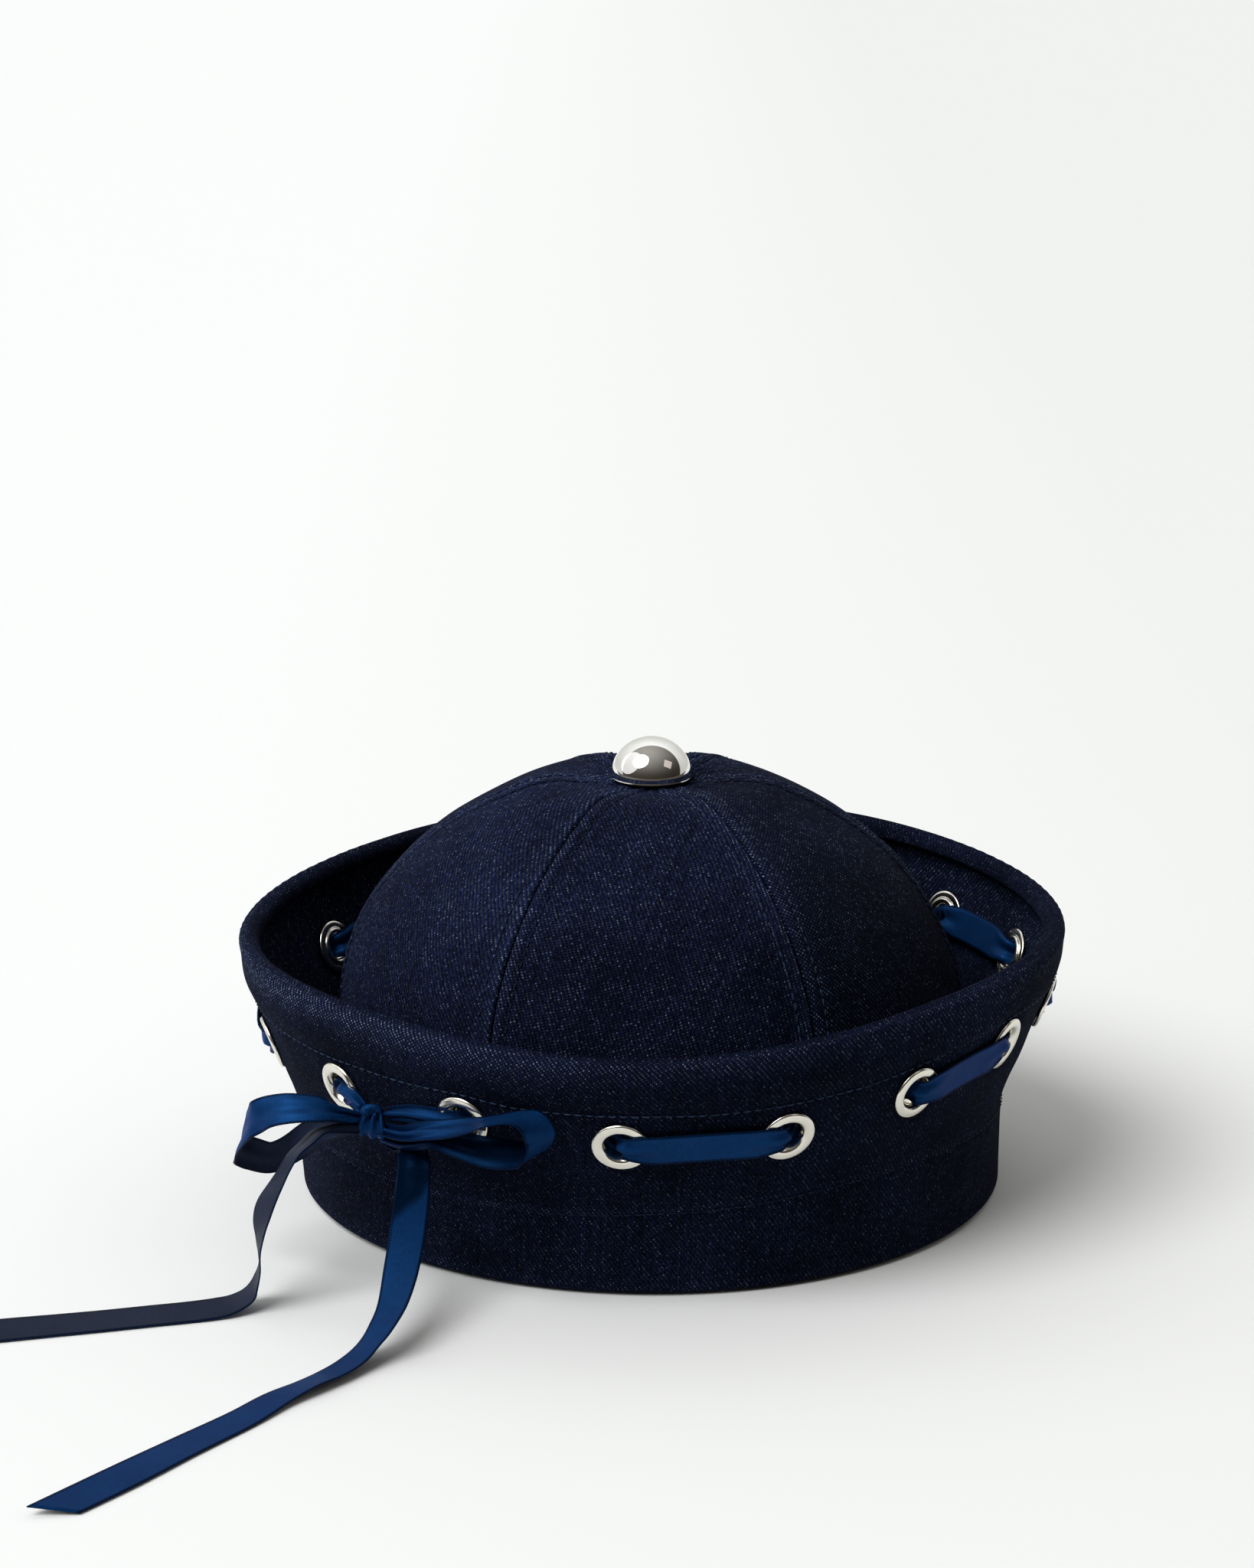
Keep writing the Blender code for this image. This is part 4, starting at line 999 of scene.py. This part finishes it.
class Graph:
    """Short calls for building shader nodes. A tuple is a colour."""

    def __init__(self, tree):
        self.tree = tree

    def link(self, value, socket):
        if isinstance(value, Value):
            self.tree.links.new(value.socket, socket)
        else:
            socket.default_value = (*value, 1.0) if isinstance(value, tuple) else value

    def add(self, kind, output, inputs=None, **settings):
        """One output of a new node with those inputs and settings."""
        node = self.tree.nodes.new("ShaderNode" + kind)
        for key, value in settings.items():
            setattr(node, key, value)
        for key, value in (inputs or {}).items():
            self.link(value, node.inputs[key])
        return Value(self, node.outputs[output])

    def math(self, operation, first, second=0.0, third=0.0, clamp=False):
        return self.add("Math", 0, {0: first, 1: second, 2: third}, operation=operation,
                        use_clamp=clamp)

    def split(self, vector):
        node = self.tree.nodes.new("ShaderNodeSeparateXYZ")
        self.link(vector, node.inputs[0])
        return [Value(self, output) for output in node.outputs]

    def combine(self, x, y, z=0.0):
        return self.add("CombineXYZ", 0, {0: x, 1: y, 2: z})

    def noise(self, vector, scale, detail=2.0):
        return self.add("TexNoise", "Fac", {"Vector": vector, "Scale": scale, "Detail": detail})

    def random(self, x, y, seed):
        return self.add("TexWhiteNoise", "Value", {"Vector": self.combine(x, y, seed)},
                        noise_dimensions="3D")

    def mix(self, share, first, second, blend="MIX"):
        return self.add("Mix", 2, {0: share, 6: first, 7: second}, data_type="RGBA",
                        blend_type=blend)

    def tinted(self, color, tone):
        return self.mix(1.0, color, self.combine(tone, tone, tone), "MULTIPLY")

    def scaled(self, value, low, high, to_low=0.0, to_high=1.0):
        return self.add("MapRange", 0, {0: value, 1: low, 2: high, 3: to_low, 4: to_high})

    def varied(self, noise, to_low, to_high):
        """A noise's common values, spread over that range."""
        return self.scaled(noise, 0.3, 0.7, to_low, to_high)

    def value_of(self, name):
        return self.add("Attribute", "Fac", attribute_name=name)

    def weave(self):
        return self.add("UVMap", 0, uv_map="weave")

    def position(self):
        return self.add("TexCoord", "Object")

    def bump(self, height, strength, depth):
        return self.add("Bump", 0, {"Height": height, "Strength": strength, "Distance": depth})


def new_material(name, build, *values):
    """Material whose shader sockets come from build(graph, *values)."""
    material = bpy.data.materials.new(name)
    material.use_nodes = True
    g = Graph(material.node_tree)
    shader = g.tree.nodes["Principled BSDF"]
    for key, value in build(g, *values).items():
        g.link(value, shader.inputs[key])
    return material


WARP_PITCH, WEFT_PITCH = 0.46 * MM, 0.64 * MM
TWILL_STEP = 3.0
SELVEDGE_START, SELVEDGE_FULL, SELVEDGE_RIB = 4.18 * MM, 4.36 * MM, 0.95 * MM


def denim_look(g, warp, pale, fleck_gain):
    """Indigo twill: dark warp threads with pale weft showing at every third crossing."""
    place, at = g.weave(), g.position()
    place_u, place_v, _ = g.split(place)
    x = (place_u + (g.noise(at, 70.0, 3.0) - 0.5) * (1.6 * MM)) / WARP_PITCH
    y = (place_v + (g.noise(at, 93.0, 3.0) - 0.5) * (1.4 * MM)) / WEFT_PITCH
    column, row = g.math("FLOOR", x), g.math("FLOOR", y)
    in_x, in_y = g.math("FRACT", x) - 0.5, g.math("FRACT", y) - 0.5
    oval = g.math("MULTIPLY", 1.0 - in_x * in_x * 3.4, 1.0 - in_y * in_y * 5.0, clamp=True)
    weft_shows = g.math("COMPARE", (column + row) % TWILL_STEP, 0.0, 0.4)
    weft = weft_shows * oval
    chance = g.random(column, row, 3.0)
    patch = g.varied(g.noise(at, 38.0, 3.0), 0.55, 1.25)
    # dim is painted shade, or painted light where it is negative, on the crown's panels.
    wear, dim = g.value_of("wear"), g.value_of("dim")
    strength = (chance ** 14.0 * 0.62 + chance ** 1.8 * 0.34 + 0.03) * (patch + wear)
    strength = strength + wear * wear * g.scaled(chance, 0.0, 1.0, 0.05, 0.55)
    strength = strength * (1.0 - g.value_of("plain")) * (1.0 - dim * 0.35)
    fleck = g.math("MULTIPLY", weft, strength * fleck_gain, clamp=True)

    round_x = g.math("COSINE", in_x * math.pi)
    twill = g.math("COSINE", ((x + y) % TWILL_STEP - 2.0) * (2 * math.pi / TWILL_STEP))
    slub = g.noise(g.combine(place_u * 2600.0, place_v * 130.0), 1.0)
    shade = (g.scaled(round_x, 0.0, 1.0, 0.20, 1.20)
             * g.scaled(g.random(column, 0.0, 9.0), 0.0, 1.0, 0.72, 1.28)
             * g.scaled(twill, -1.0, 1.0, 0.35, 1.55)
             * g.scaled(g.random(column, row, 17.0), 0.0, 1.0, 0.45, 1.60)
             * g.varied(slub, 0.75, 1.25) * patch * (1.0 - dim) + wear * 0.55)
    height = (round_x * g.scaled(weft_shows, 0.0, 1.0, 1.0, 0.25) + weft * 0.7
              + g.noise(place, 5200.0, 1.0) * 0.5)
    return {"Base Color": g.mix(fleck, g.tinted(warp, shade), pale),
            "Normal": g.bump(height, 0.85, 0.16 * MM), "Roughness": 0.88,
            "Specular IOR Level": 0.02, "Sheen Weight": 0.012, "Sheen Roughness": 0.55,
            "Sheen Tint": (0.35, 0.45, 0.80)}


def satin_look(g, body, edge, roughness, tint, gloss):
    """Woven satin ribbon with a ribbed selvedge at both edges."""
    place_u, place_v, _ = g.split(g.weave())
    selvedge = g.scaled(g.math("ABSOLUTE", place_u), SELVEDGE_START, SELVEDGE_FULL)
    ribs = g.math("SINE", place_v * (2 * math.pi / SELVEDGE_RIB))
    floats = g.noise(g.combine(place_u * 3800.0, place_v * 420.0), 1.0)
    cross = g.noise(g.combine(place_u * 260.0, place_v * 3600.0), 1.0, 1.0)
    tone = (g.varied(floats, 0.82, 1.16) * g.varied(cross, 0.86, 1.14)
            * g.varied(g.noise(g.position(), 60.0), 0.88, 1.12) * (1.0 - g.value_of("shade")))
    rib_share = selvedge * g.scaled(ribs, -1.0, 1.0, 0.55, 0.95)
    height = floats * 0.6 + cross * 0.5 + ribs * selvedge * 1.2
    return {"Base Color": g.mix(rib_share, g.tinted(body, tone), edge),
            "Normal": g.bump(height, 0.35, 0.05 * MM),
            "Roughness": g.varied(floats, roughness - 0.05, roughness + 0.07),
            "Metallic": gloss, "Specular IOR Level": 0.12, "Specular Tint": tint}


def metal_look(g, color, roughness, brushed):
    smudge, grain = g.noise(g.position(), 160.0, 3.0), g.noise(g.position(), 4200.0)
    return {"Base Color": g.tinted(color, g.varied(smudge, 0.90, 1.04)), "Metallic": 1.0,
            "Roughness": g.varied(smudge, roughness * 0.75, roughness * 1.25) + grain * brushed,
            "Normal": g.bump(grain + smudge * 2.0, 0.06, 0.02 * MM)}


def thread_look(g, color):
    at = g.position()
    return {"Base Color": g.tinted(color, g.varied(g.noise(at, 420.0), 0.55, 1.45)),
            "Normal": g.bump(g.noise(at, 3000.0, 1.0), 0.5, 0.05 * MM), "Roughness": 0.6,
            "Specular IOR Level": 0.1}


def paper_look(g):
    """Pale paper, with painted shade making it a little darker to the right, where the light falls
    off.
    """
    right, back, _ = g.split(g.position())
    sheet = g.mix(g.scaled(right, -0.20, 0.26), (0.89, 0.91, 0.915), (0.81, 0.825, 0.82))
    # The room in front of the paper is dark where the polished metal mirrors it.
    past_paper = g.scaled(g.math("ABSOLUTE", right) * 0.6 - back, 0.36, 0.48)
    mirrored = 1.0 - g.add("LightPath", "Is Camera Ray")
    return {"Base Color": g.mix(past_paper * mirrored, sheet, (0.07, 0.06, 0.05)),
            "Roughness": 0.75, "Specular IOR Level": 0.2}


# Stage

CAMERA_PLACE = (-7.18 * MM, -1198.5 * MM, 436.6 * MM)
CAMERA_TILT = 0.25842
CAMERA_FOCAL_PIXELS = 5500.0
FRAME_HEIGHT_PIXELS = 2048.0
SENSOR = 36.0
FLOOR_HALF = 9.0


def build_camera():
    data = bpy.data.cameras.new("camera")
    data.sensor_width = SENSOR
    data.lens = CAMERA_FOCAL_PIXELS / FRAME_HEIGHT_PIXELS * SENSOR
    data.clip_start, data.clip_end = 0.02, 60.0
    SCENE.camera = place_item("camera", data, CAMERA_PLACE,
                              (math.pi / 2 - CAMERA_TILT, 0.0, 0.0))


def add_light(name, kind, direction, power, place=(0.0, 0.0, 0.0), roll=0.0, **settings):
    data = bpy.data.lights.new(name, kind)
    data.energy = power
    for key, value in settings.items():
        setattr(data, key, value)
    aim = Vector(direction).to_track_quat("-Z", "Y").to_matrix()
    place_item(name, data, place, (aim @ Matrix.Rotation(roll, 3, "Z")).to_euler())


def build_sky():
    """Bright room behind the cap and a dim one in front; the camera sees an even pale wall."""
    world = bpy.data.worlds.new("studio")
    SCENE.world = world
    world.use_nodes = True
    g = Graph(world.node_tree)
    background = g.tree.nodes["Background"]
    right, back, up = g.split(g.add("TexCoord", "Generated"))
    toward_back = g.scaled(back - up * 0.466, -0.03, 0.03)
    sideways, overhead = g.scaled(right, -0.9, 0.9), up * up
    left_room = g.mix(overhead, (0.060, 0.050, 0.040), (0.62, 0.60, 0.56))
    right_room = g.mix(overhead, (0.030, 0.025, 0.020), (0.22, 0.21, 0.20))
    low = g.mix(sideways, (0.74, 0.74, 0.71), (0.62, 0.62, 0.59))
    bright = g.mix(overhead, low, (1.30, 1.33, 1.33))
    room = g.mix(toward_back, g.mix(sideways, left_room, right_room), bright)
    seen = g.add("LightPath", "Is Camera Ray")
    g.link(g.mix(seen, room, (0.86, 0.88, 0.885)), background.inputs["Color"])
    background.inputs["Strength"].default_value = 1.0


def build_stage():
    build_sky()
    mesh = bpy.data.meshes.new("floor")
    mesh.from_pydata([(x * FLOOR_HALF, y * FLOOR_HALF, 0)
                      for x, y in ((-1, -1), (1, -1), (1, 1), (-1, 1))], [], [(0, 1, 2, 3)])
    mesh.materials.append(new_material("floor paper", paper_look))
    place_item("floor", mesh)

    add_light("key", "SUN", (0.47, 0.40, -0.785), 2.20, angle=math.radians(42.0))
    add_light("left fill", "SUN", (0.80, 0.12, -0.55), 0.60, angle=math.radians(60.0))
    add_light("small", "AREA", (-1.04, 0.56, -0.92), 0.55, (1.04, -0.56, 1.04), math.pi / 4,
              shape="RECTANGLE", size=0.56, size_y=0.56, color=(1.0, 0.88, 0.82))
    SCENE.view_settings.view_transform = "Standard"
    SCENE.view_settings.look = "None"


def main():
    build_camera()
    build_stage()
    build_crown(new_material("crown denim", denim_look, (0.0042, 0.0068, 0.0240),
                             (0.20, 0.26, 0.36), 0.8))
    # The brim and its facing take darker copies of the crown's denim, with fewer pale flecks:
    # painted shade that keeps the brim's sides darker than the crown under the same light.
    build_brim(new_material("brim denim", denim_look, (0.0029, 0.0047, 0.0168),
                            (0.20, 0.26, 0.36), 0.44))
    build_facing(new_material("facing denim", denim_look, (0.0030, 0.0048, 0.0165),
                              (0.18, 0.24, 0.34), 0.6))
    build_eyelets(new_material("eyelet nickel", metal_look, (0.80, 0.77, 0.69), 0.16, 0.05))
    build_stud(new_material("stud chrome", metal_look, (0.88, 0.87, 0.85), 0.035, 0.01))
    build_ribbon(
        new_material("ribbon satin", satin_look, (0.0042, 0.031, 0.112), (0.0012, 0.005, 0.018),
                     0.44, (0.10, 0.42, 0.95), 0.45),
        new_material("ribbon reverse", satin_look, (0.0105, 0.0160, 0.036),
                     (0.003, 0.005, 0.012), 0.52, (0.42, 0.52, 0.85), 0.0))
    navy = new_material("navy thread", thread_look, (0.006, 0.011, 0.030))
    pale = new_material("pale thread", thread_look, (0.021, 0.038, 0.080))
    rows = crown_stitch_paths()
    upper_row = brim_stitch_path(upper_stitch, -0.14 * MM)
    lower_row = brim_stitch_path(lower_stitch, -0.10 * MM)
    stitches("crown_stitching_pale", "crown_denim", pale, 0.22 * MM, rows[:2])
    stitches("crown_stitching", "crown_denim", navy, 0.26 * MM, rows[2:])
    stitches("brim_stitching", "brim_denim", pale, 0.22 * MM, [upper_row])
    stitches("hem_stitching", "brim_denim", navy, 0.22 * MM, [lower_row])


main()
